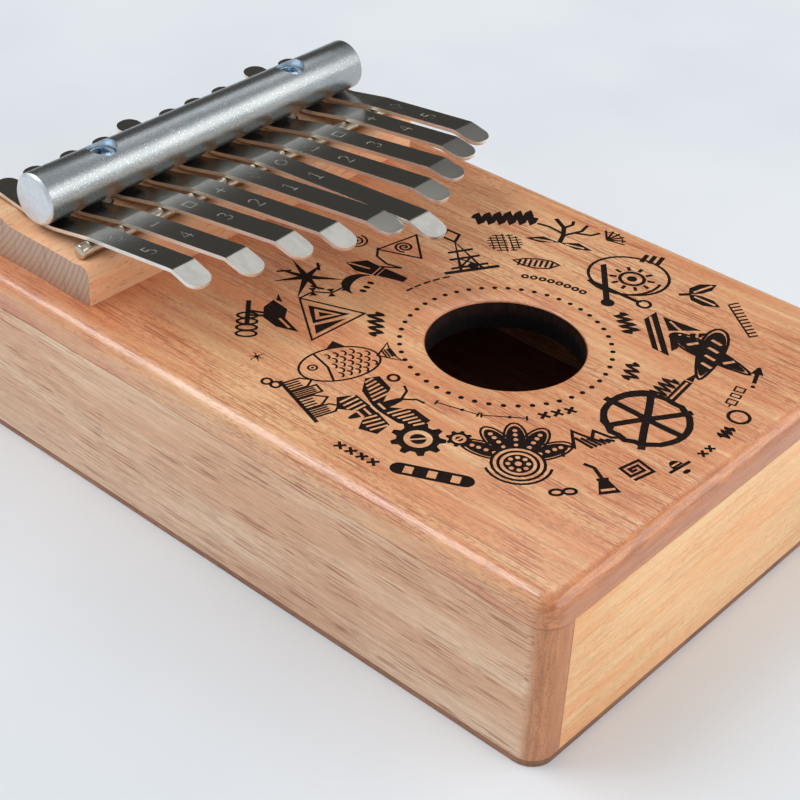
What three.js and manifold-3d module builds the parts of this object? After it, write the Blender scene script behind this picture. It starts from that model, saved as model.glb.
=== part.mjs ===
// A ten-key box mbira (kalimba): a small wooden box with a round sound hole, a bridge block glued on
// its lid, a round rod, a heavy round bar screwed down across the keys, and ten sprung steel tines.
//
// Frame: millimetres, +Z up, origin under the middle of the box. The player sits on the -Y side,
// the sound hole is at the -Y end and the bridge near the +Y end. X runs across the keys.
import * as THREE from "three";
import { mergeVertices } from "three/addons/utils/BufferGeometryUtils.js";
import Module from "manifold-3d";

const wasm = await Module();
wasm.setup();

// ---- Driving dimensions ------------------------------------------------------------------------

// The box
const BODY_WIDTH = 105;
const BODY_LENGTH = 165;
const BODY_HEIGHT = 36;
const TOP_THICKNESS = 6;
const BACK_THICKNESS = 1.2;
const WALL_THICKNESS = 6.3;
const GLUE_LINE = 0.05;
const CORNER_RADIUS = 4.5;
const TOP_EDGE_RADIUS = 3.2;
const HOLE_RADIUS = 15.1;
const HOLE_Y = -31;

// The bridge: a block on the lid and a brace under it
const BLOCK_WIDTH = 92;
const BLOCK_FRONT_Y = 33;
const BLOCK_DEPTH = 34;
const NOSE_HEIGHT = 8.2;
const NOSE_RADIUS = 2;
const GROOVE_HEIGHT = 7.85;
const GROOVE_RAMP = 2.2;
const TABLE_HEIGHT = 8;
const RIDGE_HEIGHT = 9;
const RIDGE_RAMP = 4;
const RIDGE_FROM_REAR = 7;
const RIDGE_REAR_RADIUS = 1;
const BRACE_WIDTH = 88;
const BRACE_DEPTH = 20;
const BRACE_HEIGHT = 10;

// The rod that the tines cross, lying in the block's groove
const ROD_RADIUS = 1.5;
const ROD_LENGTH = 89;
const ROD_Y = 37.4;
const ROD_Z = 45.5;
const ROD_CHAMFER = 0.3;

// The tines
const TINE_WIDTH = 5.6;
const TINE_THICKNESS = 0.8;
const TINE_ROD_GAP = 0.1;
const TINE_BAR_GAP = 0.36;
const REAR_SLOPE = THREE.MathUtils.degToRad(12);
const REAR_RUN = 10;
const REAR_BEND_RADIUS = 16;
const TAIL_SLOPE = THREE.MathUtils.degToRad(6);
const TINE_BEND_RISE = 3.4;
const TIP_LIFT = THREE.MathUtils.degToRad(4);
const TIP_BEND_RADIUS = 2.2;
const TIP_BEND_SHIFT = 0.3;
const TIP_LIFT_RADIUS = 18;
const TIP_RAMP = 4.7;
const SHORT_TAIL = 15.5;
const LONG_TAIL = 17.7;

// The tines as they are set and bent by hand, from the player's left. Each has its place across the
// rod, its reach from the rod to the playing bend, which gives its note, its lean in degrees, toward
// +X at the tip, its tail's length behind the bar, and its playing tip's drop in degrees.
const TINES = [
  { x: -39.3, reach: 24, lean: -1, tail: SHORT_TAIL, drop: 15.5 },
  { x: -30.8, reach: 27.8, lean: 1.5, tail: SHORT_TAIL, drop: 15 },
  { x: -20.8, reach: 30, lean: 2.5, tail: SHORT_TAIL, drop: 15 },
  { x: -12.4, reach: 33.4, lean: 2, tail: SHORT_TAIL, drop: 15.5 },
  { x: -3.4, reach: 36.8, lean: 2.5, tail: LONG_TAIL, drop: 9 },
  { x: 4.8, reach: 42.6, lean: -1, tail: SHORT_TAIL, drop: 16 },
  { x: 13.4, reach: 34.8, lean: 1.5, tail: SHORT_TAIL, drop: 10 },
  { x: 21.8, reach: 31.2, lean: 2.2, tail: SHORT_TAIL, drop: 9 },
  { x: 32.2, reach: 27, lean: -1, tail: LONG_TAIL, drop: 9 },
  { x: 40.2, reach: 24.6, lean: -2.5, tail: SHORT_TAIL, drop: 10 },
];

// The pressure bar and its two screws, each between the second and third tine from its side
const BAR_RADIUS = 5.4;
const BAR_LENGTH = 88;
const SCREW_X = 26.4;
const BAR_CHAMFER = 0.6;
const SCREW_CLEARANCE_RADIUS = 1.9;
const COUNTERBORE_RADIUS = 3.15;
const COUNTERBORE_FLOOR = 2;
const SCREW_RADIUS = 1.6;
const SCREW_LENGTH = 28;
const SCREW_HEAD_RADIUS = 2.9;
const SCREW_HEAD_HEIGHT = 2.3;
const SCREW_SEAT_GAP = 0.05;
const RECESS_WIDTH = 0.9;
const RECESS_SPAN = 3.4;
const RECESS_DEPTH = 1.3;
const PILOT_RADIUS = 1.75;
const PILOT_DEPTH = 8;

// ---- Worked out from them ----------------------------------------------------------------------

const LID_UNDERSIDE = BODY_HEIGHT - TOP_THICKNESS;
const WALL_HEIGHT = LID_UNDERSIDE - BACK_THICKNESS - 2 * GLUE_LINE;
const WALL_BASE = BACK_THICKNESS + GLUE_LINE;
const INNER_WIDTH = BODY_WIDTH - 2 * WALL_THICKNESS;
const BLOCK_BASE = BODY_HEIGHT + GLUE_LINE;
const TINE_CONTACT_RADIUS = ROD_RADIUS + TINE_ROD_GAP + TINE_THICKNESS / 2;
// The lowest point of a tine's middle line, which the bar stands over
const LOW_POINT_Y =
  ROD_Y +
  (TINE_CONTACT_RADIUS + REAR_BEND_RADIUS) * Math.sin(REAR_SLOPE) +
  REAR_RUN * Math.cos(REAR_SLOPE);
const LOW_POINT_Z =
  ROD_Z +
  TINE_CONTACT_RADIUS * Math.cos(REAR_SLOPE) -
  REAR_RUN * Math.sin(REAR_SLOPE) -
  REAR_BEND_RADIUS * (1 - Math.cos(REAR_SLOPE));
const BAR_Y = LOW_POINT_Y;
const BAR_Z = LOW_POINT_Z + TINE_THICKNESS / 2 + TINE_BAR_GAP + BAR_RADIUS;

// ---- Materials ---------------------------------------------------------------------------------

const MAHOGANY = { color: 0xd9a271, roughness: 0.45, metalness: 0 };
const MAHOGANY_SIDE = { color: 0xc9a27c, roughness: 0.5, metalness: 0 };
const PALE_MAHOGANY = { color: 0xe3bd8f, roughness: 0.5, metalness: 0 };
const DARK_PLY = { color: 0x8a6047, roughness: 0.6, metalness: 0 };
const BEECH = { color: 0xd6a474, roughness: 0.55, metalness: 0 };
const SPRUCE = { color: 0xd9bf94, roughness: 0.7, metalness: 0 };
const ALUMINIUM = { color: 0xb9bdc0, roughness: 0.35, metalness: 1 };
const ROD_STEEL = { color: 0xa79f92, roughness: 0.25, metalness: 1 };
const SPRING_STEEL = { color: 0x8f8b84, roughness: 0.25, metalness: 1 };
const BLUE_ZINC = { color: 0x9fb9cc, roughness: 0.25, metalness: 1 };

// ---- Solid helpers -----------------------------------------------------------------------------

function toSolid(geometry) {
  const bare = geometry.clone();
  bare.deleteAttribute("normal");
  bare.deleteAttribute("uv");
  const merged = mergeVertices(bare, 1e-4);
  return new wasm.Manifold(
    new wasm.Mesh({
      numProp: 3,
      vertProperties: merged.attributes.position.array,
      triVerts: new Uint32Array(merged.index.array),
    }),
  );
}

function toGeometry(solid) {
  const mesh = solid.getMesh();
  const geometry = new THREE.BufferGeometry();
  geometry.setAttribute("position", new THREE.BufferAttribute(mesh.vertProperties, 3));
  geometry.setIndex(new THREE.BufferAttribute(mesh.triVerts, 1));
  geometry.computeVertexNormals();
  return geometry;
}

// A solid box whose base is centred on the given point
function block(width, depth, height, x = 0, y = 0, z = 0) {
  return toSolid(new THREE.BoxGeometry(width, depth, height).translate(x, y, z + height / 2));
}

// An upright cylinder standing on the given point
function post(radius, height, x, y, z, sides = 24) {
  const geometry = new THREE.CylinderGeometry(radius, radius, height, sides);
  return toSolid(geometry.rotateX(Math.PI / 2).translate(x, y, z + height / 2));
}

// A shape drawn in (X, Y) and raised along Z from zero
function raised(shape, height, curveSegments = 8) {
  const options = { depth: height, bevelEnabled: false, curveSegments };
  return toSolid(new THREE.ExtrudeGeometry(shape, options));
}

// A shape drawn in (Y, Z) and swept along X, centred on X = 0
function sweptAcross(shape, width, curveSegments = 8) {
  const options = { depth: width, bevelEnabled: false, curveSegments };
  const geometry = new THREE.ExtrudeGeometry(shape, options);
  // The shape's x becomes Y, its y becomes Z, and the sweep runs along X
  const turn = new THREE.Matrix4().makeBasis(
    new THREE.Vector3(0, 1, 0),
    new THREE.Vector3(0, 0, 1),
    new THREE.Vector3(1, 0, 0),
  );
  return toSolid(geometry.applyMatrix4(turn).translate(-width / 2, 0, 0));
}

// A shape drawn in (X, Z) and swept along Y, centred on Y = 0
function sweptAlong(shape, length, curveSegments = 8) {
  const options = { depth: length, bevelEnabled: false, curveSegments };
  const geometry = new THREE.ExtrudeGeometry(shape, options);
  return toSolid(geometry.rotateX(Math.PI / 2).translate(0, length / 2, 0));
}

// A rectangle about the origin with all four corners rounded
function roundedRectangle(width, length, radius) {
  const x = width / 2;
  const y = length / 2;
  const shape = new THREE.Shape();
  shape.moveTo(-x + radius, -y);
  shape.lineTo(x - radius, -y);
  shape.absarc(x - radius, -y + radius, radius, -Math.PI / 2, 0);
  shape.lineTo(x, y - radius);
  shape.absarc(x - radius, y - radius, radius, 0, Math.PI / 2);
  shape.lineTo(-x + radius, y);
  shape.absarc(-x + radius, y - radius, radius, Math.PI / 2, Math.PI);
  shape.lineTo(-x, -y + radius);
  shape.absarc(-x + radius, -y + radius, radius, Math.PI, 1.5 * Math.PI);
  return shape;
}

// A cross-section standing on zero whose two upper corners are rounded
function archedSection(width, height, radius) {
  const x = width / 2;
  const shape = new THREE.Shape();
  shape.moveTo(-x, 0);
  shape.lineTo(x, 0);
  shape.lineTo(x, height - radius);
  shape.absarc(x - radius, height - radius, radius, 0, Math.PI / 2);
  shape.lineTo(-x + radius, height);
  shape.absarc(-x + radius, height - radius, radius, Math.PI / 2, Math.PI);
  return shape;
}

const instrument = new THREE.Group();

function addPiece(name, solid, look, parent = instrument) {
  const mesh = new THREE.Mesh(toGeometry(solid), new THREE.MeshStandardMaterial(look));
  mesh.name = name;
  parent.add(mesh);
  return mesh;
}

// ---- The box -----------------------------------------------------------------------------------

// Clearance holes for the two screws, through whatever lies between the two heights
function screwHoles(radius, base, top) {
  const height = top - base;
  const left = post(radius, height, -SCREW_X, BAR_Y, base);
  return left.add(post(radius, height, SCREW_X, BAR_Y, base));
}

function soundboard() {
  const plan = roundedRectangle(BODY_WIDTH, BODY_LENGTH, CORNER_RADIUS);
  const across = archedSection(BODY_WIDTH, TOP_THICKNESS, TOP_EDGE_RADIUS);
  const along = archedSection(BODY_LENGTH, TOP_THICKNESS, TOP_EDGE_RADIUS);
  const hole = post(HOLE_RADIUS, TOP_THICKNESS + 2, 0, HOLE_Y, -1, 72);
  return raised(plan, TOP_THICKNESS)
    .intersect(sweptAlong(across, BODY_LENGTH))
    .intersect(sweptAcross(along, BODY_WIDTH))
    .subtract(hole)
    .subtract(screwHoles(SCREW_CLEARANCE_RADIUS, -1, TOP_THICKNESS + 1));
}

function backPlate() {
  return raised(roundedRectangle(BODY_WIDTH, BODY_LENGTH, CORNER_RADIUS), BACK_THICKNESS);
}

// A side board, with its two outer upright corners rounded; side is -1 for the left, 1 for the right
function sideBoard(side) {
  const frame = raised(roundedRectangle(BODY_WIDTH, BODY_LENGTH, CORNER_RADIUS), WALL_HEIGHT);
  const middle = side * (BODY_WIDTH - WALL_THICKNESS) / 2;
  return frame.intersect(block(WALL_THICKNESS, BODY_LENGTH + 2, WALL_HEIGHT + 2, middle, 0, -1));
}

function endPanel() {
  return block(INNER_WIDTH - 2 * GLUE_LINE, WALL_THICKNESS, WALL_HEIGHT);
}

addPiece("soundboard", soundboard(), MAHOGANY).position.z = LID_UNDERSIDE;
addPiece("back_plate", backPlate(), DARK_PLY);
addPiece("left_side", sideBoard(-1), MAHOGANY_SIDE).position.z = WALL_BASE;
addPiece("right_side", sideBoard(1), MAHOGANY_SIDE).position.z = WALL_BASE;
const PANEL_Y = (BODY_LENGTH - WALL_THICKNESS) / 2;
addPiece("front_panel", endPanel(), PALE_MAHOGANY).position.set(0, -PANEL_Y, WALL_BASE);
addPiece("rear_panel", endPanel(), PALE_MAHOGANY).position.set(0, PANEL_Y, WALL_BASE);

// ---- The bridge --------------------------------------------------------------------------------

// An S-shaped step up or down in a section, level at both its ends
function easeTo(shape, y, z) {
  const from = shape.currentPoint;
  const middle = (from.x + y) / 2;
  shape.bezierCurveTo(middle, from.y, middle, z, y, z);
}

// The block's section from its front foot: up the rear, over the ridge that the tines' tails lie on,
// down to the level table, through the groove for the rod and over the rounded nose
function blockSection() {
  const rod = ROD_Y - BLOCK_FRONT_Y;
  const ridgeFront = BLOCK_DEPTH - RIDGE_FROM_REAR;
  const rear = RIDGE_REAR_RADIUS;
  const shape = new THREE.Shape();
  shape.moveTo(0, 0);
  shape.lineTo(BLOCK_DEPTH, 0);
  shape.lineTo(BLOCK_DEPTH, RIDGE_HEIGHT - rear);
  shape.absarc(BLOCK_DEPTH - rear, RIDGE_HEIGHT - rear, rear, 0, Math.PI / 2);
  shape.lineTo(ridgeFront, RIDGE_HEIGHT);
  easeTo(shape, ridgeFront - RIDGE_RAMP, TABLE_HEIGHT);
  shape.lineTo(rod + GROOVE_RAMP, TABLE_HEIGHT);
  easeTo(shape, rod, GROOVE_HEIGHT);
  easeTo(shape, rod - GROOVE_RAMP, NOSE_HEIGHT);
  shape.lineTo(NOSE_RADIUS, NOSE_HEIGHT);
  shape.absarc(NOSE_RADIUS, NOSE_HEIGHT - NOSE_RADIUS, NOSE_RADIUS, Math.PI / 2, Math.PI);
  return shape;
}

function bridgeBlock() {
  const body = sweptAcross(blockSection(), BLOCK_WIDTH);
  const holes = screwHoles(SCREW_CLEARANCE_RADIUS, -1, RIDGE_HEIGHT + 1);
  return body.translate([0, BLOCK_FRONT_Y, 0]).subtract(holes);
}

// The brace under the lid, with blind pilot holes that the screws bite into
function bridgeBrace() {
  const body = block(BRACE_WIDTH, BRACE_DEPTH, BRACE_HEIGHT, 0, BAR_Y, 0);
  return body.subtract(screwHoles(PILOT_RADIUS, BRACE_HEIGHT - PILOT_DEPTH, BRACE_HEIGHT + 1));
}

// A round bar along X with chamfered ends, centred on the origin
function turnedBar(radius, length, chamfer, sides) {
  const end = length / 2;
  const profile = [
    new THREE.Vector2(0, -end),
    new THREE.Vector2(radius - chamfer, -end),
    new THREE.Vector2(radius, -end + chamfer),
    new THREE.Vector2(radius, end - chamfer),
    new THREE.Vector2(radius - chamfer, end),
    new THREE.Vector2(0, end),
  ];
  return toSolid(new THREE.LatheGeometry(profile, sides).rotateZ(-Math.PI / 2));
}

function pressureBar() {
  let bar = turnedBar(BAR_RADIUS, BAR_LENGTH, BAR_CHAMFER, 48);
  for (const x of [-SCREW_X, SCREW_X]) {
    const bore = post(SCREW_CLEARANCE_RADIUS, 2 * BAR_RADIUS + 2, x, 0, -BAR_RADIUS - 1);
    const seat = post(COUNTERBORE_RADIUS, BAR_RADIUS, x, 0, COUNTERBORE_FLOOR, 32);
    bar = bar.subtract(bore).subtract(seat);
  }
  return bar;
}

// A cross-head wood screw with its head's seat at z = 0: shank, cone point, domed head and recess
function barScrew() {
  const pointLength = 2 * SCREW_RADIUS;
  const rim = SCREW_HEAD_HEIGHT * 0.55;
  const profile = [
    new THREE.Vector2(0, -SCREW_LENGTH),
    new THREE.Vector2(SCREW_RADIUS, -SCREW_LENGTH + pointLength),
    new THREE.Vector2(SCREW_RADIUS, 0),
    new THREE.Vector2(SCREW_HEAD_RADIUS, 0),
    new THREE.Vector2(SCREW_HEAD_RADIUS, rim),
    new THREE.Vector2(SCREW_HEAD_RADIUS * 0.8, SCREW_HEAD_HEIGHT * 0.88),
    new THREE.Vector2(SCREW_HEAD_RADIUS * 0.45, SCREW_HEAD_HEIGHT),
    new THREE.Vector2(0, SCREW_HEAD_HEIGHT),
  ];
  const body = toSolid(new THREE.LatheGeometry(profile, 24).rotateX(Math.PI / 2));
  const floor = SCREW_HEAD_HEIGHT - RECESS_DEPTH;
  const slot = block(RECESS_SPAN, RECESS_WIDTH, SCREW_HEAD_HEIGHT, 0, 0, floor);
  const crossSlot = block(RECESS_WIDTH, RECESS_SPAN, SCREW_HEAD_HEIGHT, 0, 0, floor);
  return body.subtract(slot).subtract(crossSlot);
}

const BRACE_BASE = LID_UNDERSIDE - GLUE_LINE - BRACE_HEIGHT;
addPiece("bridge_block", bridgeBlock(), BEECH).position.z = BLOCK_BASE;
addPiece("bridge_brace", bridgeBrace(), SPRUCE).position.z = BRACE_BASE;
const rod = turnedBar(ROD_RADIUS, ROD_LENGTH, ROD_CHAMFER, 24);
addPiece("front_rod", rod, ROD_STEEL).position.set(0, ROD_Y, ROD_Z);
addPiece("pressure_bar", pressureBar(), ALUMINIUM).position.set(0, BAR_Y, BAR_Z);
const SCREW_SEAT_Z = BAR_Z + COUNTERBORE_FLOOR + SCREW_SEAT_GAP;
addPiece("bar_screw_left", barScrew(), BLUE_ZINC).position.set(-SCREW_X, BAR_Y, SCREW_SEAT_Z);
addPiece("bar_screw_right", barScrew(), BLUE_ZINC).position.set(SCREW_X, BAR_Y, SCREW_SEAT_Z);

// ---- The tines ---------------------------------------------------------------------------------

// Walks a strip's middle line in the (Y, Z) plane. Each move is a straight run, or an arc when it
// has a turn and a radius; headings are angles from +Y toward +Z, in radians.
function walk(start, heading, moves) {
  const points = [start.clone()];
  const here = start.clone();
  const arcSteps = 5;
  for (const { run, turn = 0, radius = 0 } of moves) {
    const steps = turn ? arcSteps : 1;
    const stride = turn ? 2 * radius * Math.sin(Math.abs(turn) / steps / 2) : run;
    for (let i = 0; i < steps; i++) {
      heading += turn / steps / 2;
      here.x += stride * Math.cos(heading);
      here.y += stride * Math.sin(heading);
      heading += turn / steps / 2;
      points.push(here.clone());
    }
  }
  return points;
}

// The tine's middle line from tail to tip, measured from the rod's axis
function tineLine(reach, tailLength, tipDrop) {
  const frontSlope = Math.atan2(TINE_BEND_RISE, reach);
  const onRod = (slope) =>
    new THREE.Vector2(Math.sin(slope), Math.cos(slope)).multiplyScalar(TINE_CONTACT_RADIUS);
  const tail = walk(onRod(REAR_SLOPE), -REAR_SLOPE, [
    { run: REAR_RUN },
    { turn: REAR_SLOPE, radius: REAR_BEND_RADIUS },
    { turn: TAIL_SLOPE, radius: REAR_BEND_RADIUS },
    { run: tailLength },
  ]);
  const front = walk(onRod(frontSlope), Math.PI - frontSlope, [
    { run: reach - TIP_BEND_SHIFT },
    { turn: frontSlope + tipDrop, radius: TIP_BEND_RADIUS },
    { run: TIP_RAMP },
    { turn: -TIP_LIFT, radius: TIP_LIFT_RADIUS },
  ]);
  return [...tail.reverse(), ...front];
}

// A closed outline around the middle line, half a thickness to each side
function tineSection(line) {
  const half = TINE_THICKNESS / 2;
  const upper = [];
  const lower = [];
  line.forEach((point, i) => {
    const before = line[Math.max(i - 1, 0)];
    const after = line[Math.min(i + 1, line.length - 1)];
    const along = after.clone().sub(before).normalize();
    const up = new THREE.Vector2(along.y, -along.x).multiplyScalar(half);
    upper.push(point.clone().add(up));
    lower.push(point.clone().sub(up));
  });
  return new THREE.Shape([...lower, ...upper.reverse()]);
}

function tine(reach, tailLength, tipDrop) {
  const line = tineLine(reach, tailLength, tipDrop);
  const tailEnd = line[0].x;
  const tipEnd = line[line.length - 1].x;
  const plan = roundedRectangle(TINE_WIDTH, tailEnd - tipEnd, TINE_WIDTH * 0.46);
  const height = 20;
  const outline = raised(plan, height).translate([0, (tailEnd + tipEnd) / 2, -height / 2]);
  return sweptAcross(tineSection(line), TINE_WIDTH + 1).intersect(outline);
}

TINES.forEach(({ x, reach, lean, tail, drop }, i) => {
  const solid = tine(reach, tail, THREE.MathUtils.degToRad(drop));
  const mesh = addPiece(`tine_${i + 1}`, solid, SPRING_STEEL);
  mesh.position.set(x, ROD_Y, ROD_Z);
  mesh.rotation.z = THREE.MathUtils.degToRad(lean);
});

export default instrument;
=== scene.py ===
"""A ten-key box mbira (kalimba) on a pale table: a mahogany box with a drawing burned round its sound
hole, a beech bridge block, sprung steel tines, a steel rod and a blasted aluminium pressure bar.

Shapes are drawn in millimetres in the CAD frame (+Z up, origin under the middle of the box, sound hole
toward -Y, tines side by side along X) and are turned into metres as each mesh is made.
"""
import math

import bmesh
import bpy
import numpy as np
from mathutils import Matrix, Vector, geometry


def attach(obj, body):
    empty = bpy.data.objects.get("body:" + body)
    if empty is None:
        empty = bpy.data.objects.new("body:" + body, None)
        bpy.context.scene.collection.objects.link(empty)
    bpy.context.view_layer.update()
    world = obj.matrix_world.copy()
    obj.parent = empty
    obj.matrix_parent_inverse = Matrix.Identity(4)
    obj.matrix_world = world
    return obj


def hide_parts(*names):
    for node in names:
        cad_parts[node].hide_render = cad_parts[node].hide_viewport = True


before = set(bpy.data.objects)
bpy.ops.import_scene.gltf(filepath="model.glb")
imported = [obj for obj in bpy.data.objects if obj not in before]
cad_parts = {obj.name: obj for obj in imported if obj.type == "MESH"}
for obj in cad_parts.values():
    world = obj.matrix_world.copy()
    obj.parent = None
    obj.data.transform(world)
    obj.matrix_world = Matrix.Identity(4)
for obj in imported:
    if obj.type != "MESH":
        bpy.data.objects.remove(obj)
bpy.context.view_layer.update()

MM = 0.001

# ---- Sizes, in millimetres -----------------------------------------------------------------------

BODY_WIDTH = 105
BODY_LENGTH = 165
BODY_HEIGHT = 36
LID_UNDERSIDE = 30
BACK_THICKNESS = 1.2
WALL_BASE = 1.25
WALL_TOP = 29.95
WALL_THICKNESS = 6.3
GLUE_LINE = 0.05
CORNER_RADIUS = 4.5
LID_EDGE_RADIUS = 3.2
LID_EASE = 0.15
BOARD_EASE = 0.15
PANEL_EASE = 0.12
BACK_EASE = 0.25
HOLE_RADIUS = 15.1
HOLE_EASE = 0.35
HOLE_SIDES = 96
HOLE_Y = -31

BLOCK_WIDTH = 92
BLOCK_FRONT_Y = 33
BLOCK_DEPTH = 34
BLOCK_BASE = 36.05
BLOCK_EASE = 0.35
NOSE_HEIGHT = 8.2
NOSE_RADIUS = 2.0
GROOVE_HEIGHT = 7.85
GROOVE_RAMP = 2.2
TABLE_HEIGHT = 8
RIDGE_HEIGHT = 9
RIDGE_RAMP = 4
RIDGE_FROM_REAR = 7

ROD_RADIUS = 1.5
ROD_LENGTH = 89
ROD_CHAMFER = 0.22
ROD_Y = 37.4
ROD_Z = 45.5

TINE_WIDTH = 5.6
TINE_THICKNESS = 0.8
TINE_EDGE_RADIUS = 0.16
TINE_END_RADIUS = 2.55
TINE_CONTACT_RADIUS = 2.0
REAR_SLOPE = math.radians(12)
REAR_RUN = 10
REAR_BEND_RADIUS = 16
TAIL_SLOPE = math.radians(6)
BEND_RISE = 3.4
TIP_LIFT = math.radians(1.2)
TIP_BEND_RADIUS = 2.2
TIP_LIFT_RADIUS = 60
TIP_RAMP = 4.7
TIP_BEND_SHIFT = 0.3
SHORT_TAIL = 15.5
LONG_TAIL = 17.7
# Faces of the flat strip that lean further over than this take the near-white edge steel, a painted
# highlight along the tines' edges
EDGE_STEEPNESS = 0.93

# Each tine from the player's left: place across the rod, reach from the rod to the playing bend, lean
# in degrees, tail behind the bar, the drop of its hand-bent tip in degrees, and what is stamped on it
TINES = (
    (-39.3, 24.0, -1.0, SHORT_TAIL, 15.5, "ring", 5),
    (-30.8, 27.8, 1.5, SHORT_TAIL, 15.0, "triangle", 4),
    (-20.8, 30.0, 2.5, SHORT_TAIL, 15.0, "square", 3),
    (-12.4, 33.4, 2.0, SHORT_TAIL, 15.5, "cross", 2),
    (-3.4, 36.8, 2.5, LONG_TAIL, 9.0, "diamond", 1),
    (4.8, 42.6, -1.0, SHORT_TAIL, 16.0, "ring", 1),
    (13.4, 34.8, 1.5, SHORT_TAIL, 10.0, "triangle", 2),
    (21.8, 31.2, 2.2, SHORT_TAIL, 9.0, "square", 3),
    (32.2, 27.0, -1.0, LONG_TAIL, 9.0, "cross", 4),
    (40.2, 24.6, -2.5, SHORT_TAIL, 10.0, "diamond", 5),
)

BAR_RADIUS = 5.4
BAR_LENGTH = 88
BAR_CHAMFER = 0.6
TINE_BAR_GAP = 0.36
# The bar stands over the lowest point of the tines' middle lines
LOW_POINT_Y = (TINE_CONTACT_RADIUS + REAR_BEND_RADIUS) * math.sin(REAR_SLOPE) + (
    REAR_RUN * math.cos(REAR_SLOPE)
)
LOW_POINT_Z = TINE_CONTACT_RADIUS * math.cos(REAR_SLOPE) - REAR_RUN * math.sin(REAR_SLOPE) - (
    REAR_BEND_RADIUS * (1 - math.cos(REAR_SLOPE))
)
BAR_Y = ROD_Y + LOW_POINT_Y
BAR_Z = ROD_Z + LOW_POINT_Z + TINE_THICKNESS / 2 + TINE_BAR_GAP + BAR_RADIUS
SCREW_X = 26.4
SCREW_CLEARANCE_RADIUS = 1.9
COUNTERBORE_RADIUS = 3.15
COUNTERBORE_FLOOR = 2
SCREW_SEAT_Z = BAR_Z + COUNTERBORE_FLOOR + 0.05
SCREW_RADIUS = 1.6
SCREW_LENGTH = 28
SCREW_HEAD_RADIUS = 2.9
SCREW_HEAD_HEIGHT = 2.3
SCREW_HEAD_EASE = 0.15
LEFT_SCREW_TURN = math.radians(24)
RIGHT_SCREW_TURN = math.radians(-15)
RECESS_WIDTH = 0.9
RECESS_SPAN = 3.4
RECESS_DEPTH = 1.3
RECESS_TAPER = 0.62

LACQUER_IOR = 1.62
BURN_DEPTH = 0.12
STROKE_WEIGHT = 1.32
STAMP_DEPTH = 0.12
STAMP_HALF = 1.75
STAMP_LINE = 0.3
SIGN_AHEAD = 5.4
DIGIT_AHEAD = 15.0


# ---- Flat outlines -------------------------------------------------------------------------------

def rounded_outline(width, length, radius, steps=8, centre=(0, 0)):
    """A rectangle about a centre with four rounded corners, anticlockwise."""
    points = []
    radius = max(radius, 0.02)
    for quarter, (side, end) in enumerate(((1, 1), (-1, 1), (-1, -1), (1, -1))):
        corner_x = centre[0] + side * (width / 2 - radius)
        corner_y = centre[1] + end * (length / 2 - radius)
        for i in range(steps + 1):
            angle = math.pi / 2 * (quarter + i / steps)
            x = corner_x + radius * math.cos(angle)
            y = corner_y + radius * math.sin(angle)
            points.append(Vector((x, y)))
    return points


def oval(x, y, wide, tall, count=24):
    turn = 2 * math.pi / count
    return [(x + wide * math.cos(i * turn), y + tall * math.sin(i * turn)) for i in range(count)]


def circle(radius, sides, centre=(0, 0)):
    return [Vector(point) for point in oval(*centre, radius, radius, sides)]


def strip(points, width, closed=False):
    """Four-sided pieces along a line, half the width to each side, mitred where the line turns."""
    count = len(points)
    sides = []
    for i, point in enumerate(points):
        into = (point - points[i - 1]).normalized() if closed or i > 0 else None
        out = (points[(i + 1) % count] - point).normalized() if closed or i + 1 < count else None
        into = out if into is None else into
        out = into if out is None else out
        along = into + out
        along = out if along.length < 0.3 else along.normalized()
        normal = Vector((-along.y, along.x))
        miter = 1 / max(0.6, normal.dot(Vector((-out.y, out.x))))
        sides.append((point + normal * width * miter / 2, point - normal * width * miter / 2))
    pieces = []
    for i in range(count if closed else count - 1):
        corners = [*sides[i], *sides[(i + 1) % count]]
        hull = geometry.convex_hull_2d(corners)
        pieces.append(anticlockwise([corners[k] for k in hull]))
    return pieces


def anticlockwise(points):
    area = sum(a.cross(b) for a, b in zip(points, points[1:] + points[:1]))
    return list(points) if area > 0 else list(reversed(points))


# ---- Mesh helpers --------------------------------------------------------------------------------

def inside(spots, outline):
    """Which of many spots lie inside an outline."""
    x, y = spots[:, 0], spots[:, 1]
    found = np.zeros(len(spots), bool)
    for a, b in zip(outline, outline[1:] + outline[:1]):
        if a.y == b.y:
            continue
        crosses = (a.y > y) != (b.y > y)
        found ^= crosses & (x < a.x + (b.x - a.x) * (y - a.y) / (b.y - a.y))
    return found


def marked(spots, marks):
    """Which spots end up sunk: a later mark overrules an earlier one where they overlap."""
    sunk = np.zeros(len(spots), bool)
    for outline, kept in marks:
        xs, ys = [p.x for p in outline], [p.y for p in outline]
        near = (spots[:, 0] >= min(xs)) & (spots[:, 0] <= max(xs))
        near = np.nonzero(near & (spots[:, 1] >= min(ys)) & (spots[:, 1] <= max(ys)))[0]
        sunk[near[inside(spots[near], outline)]] = kept
    return sunk


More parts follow.
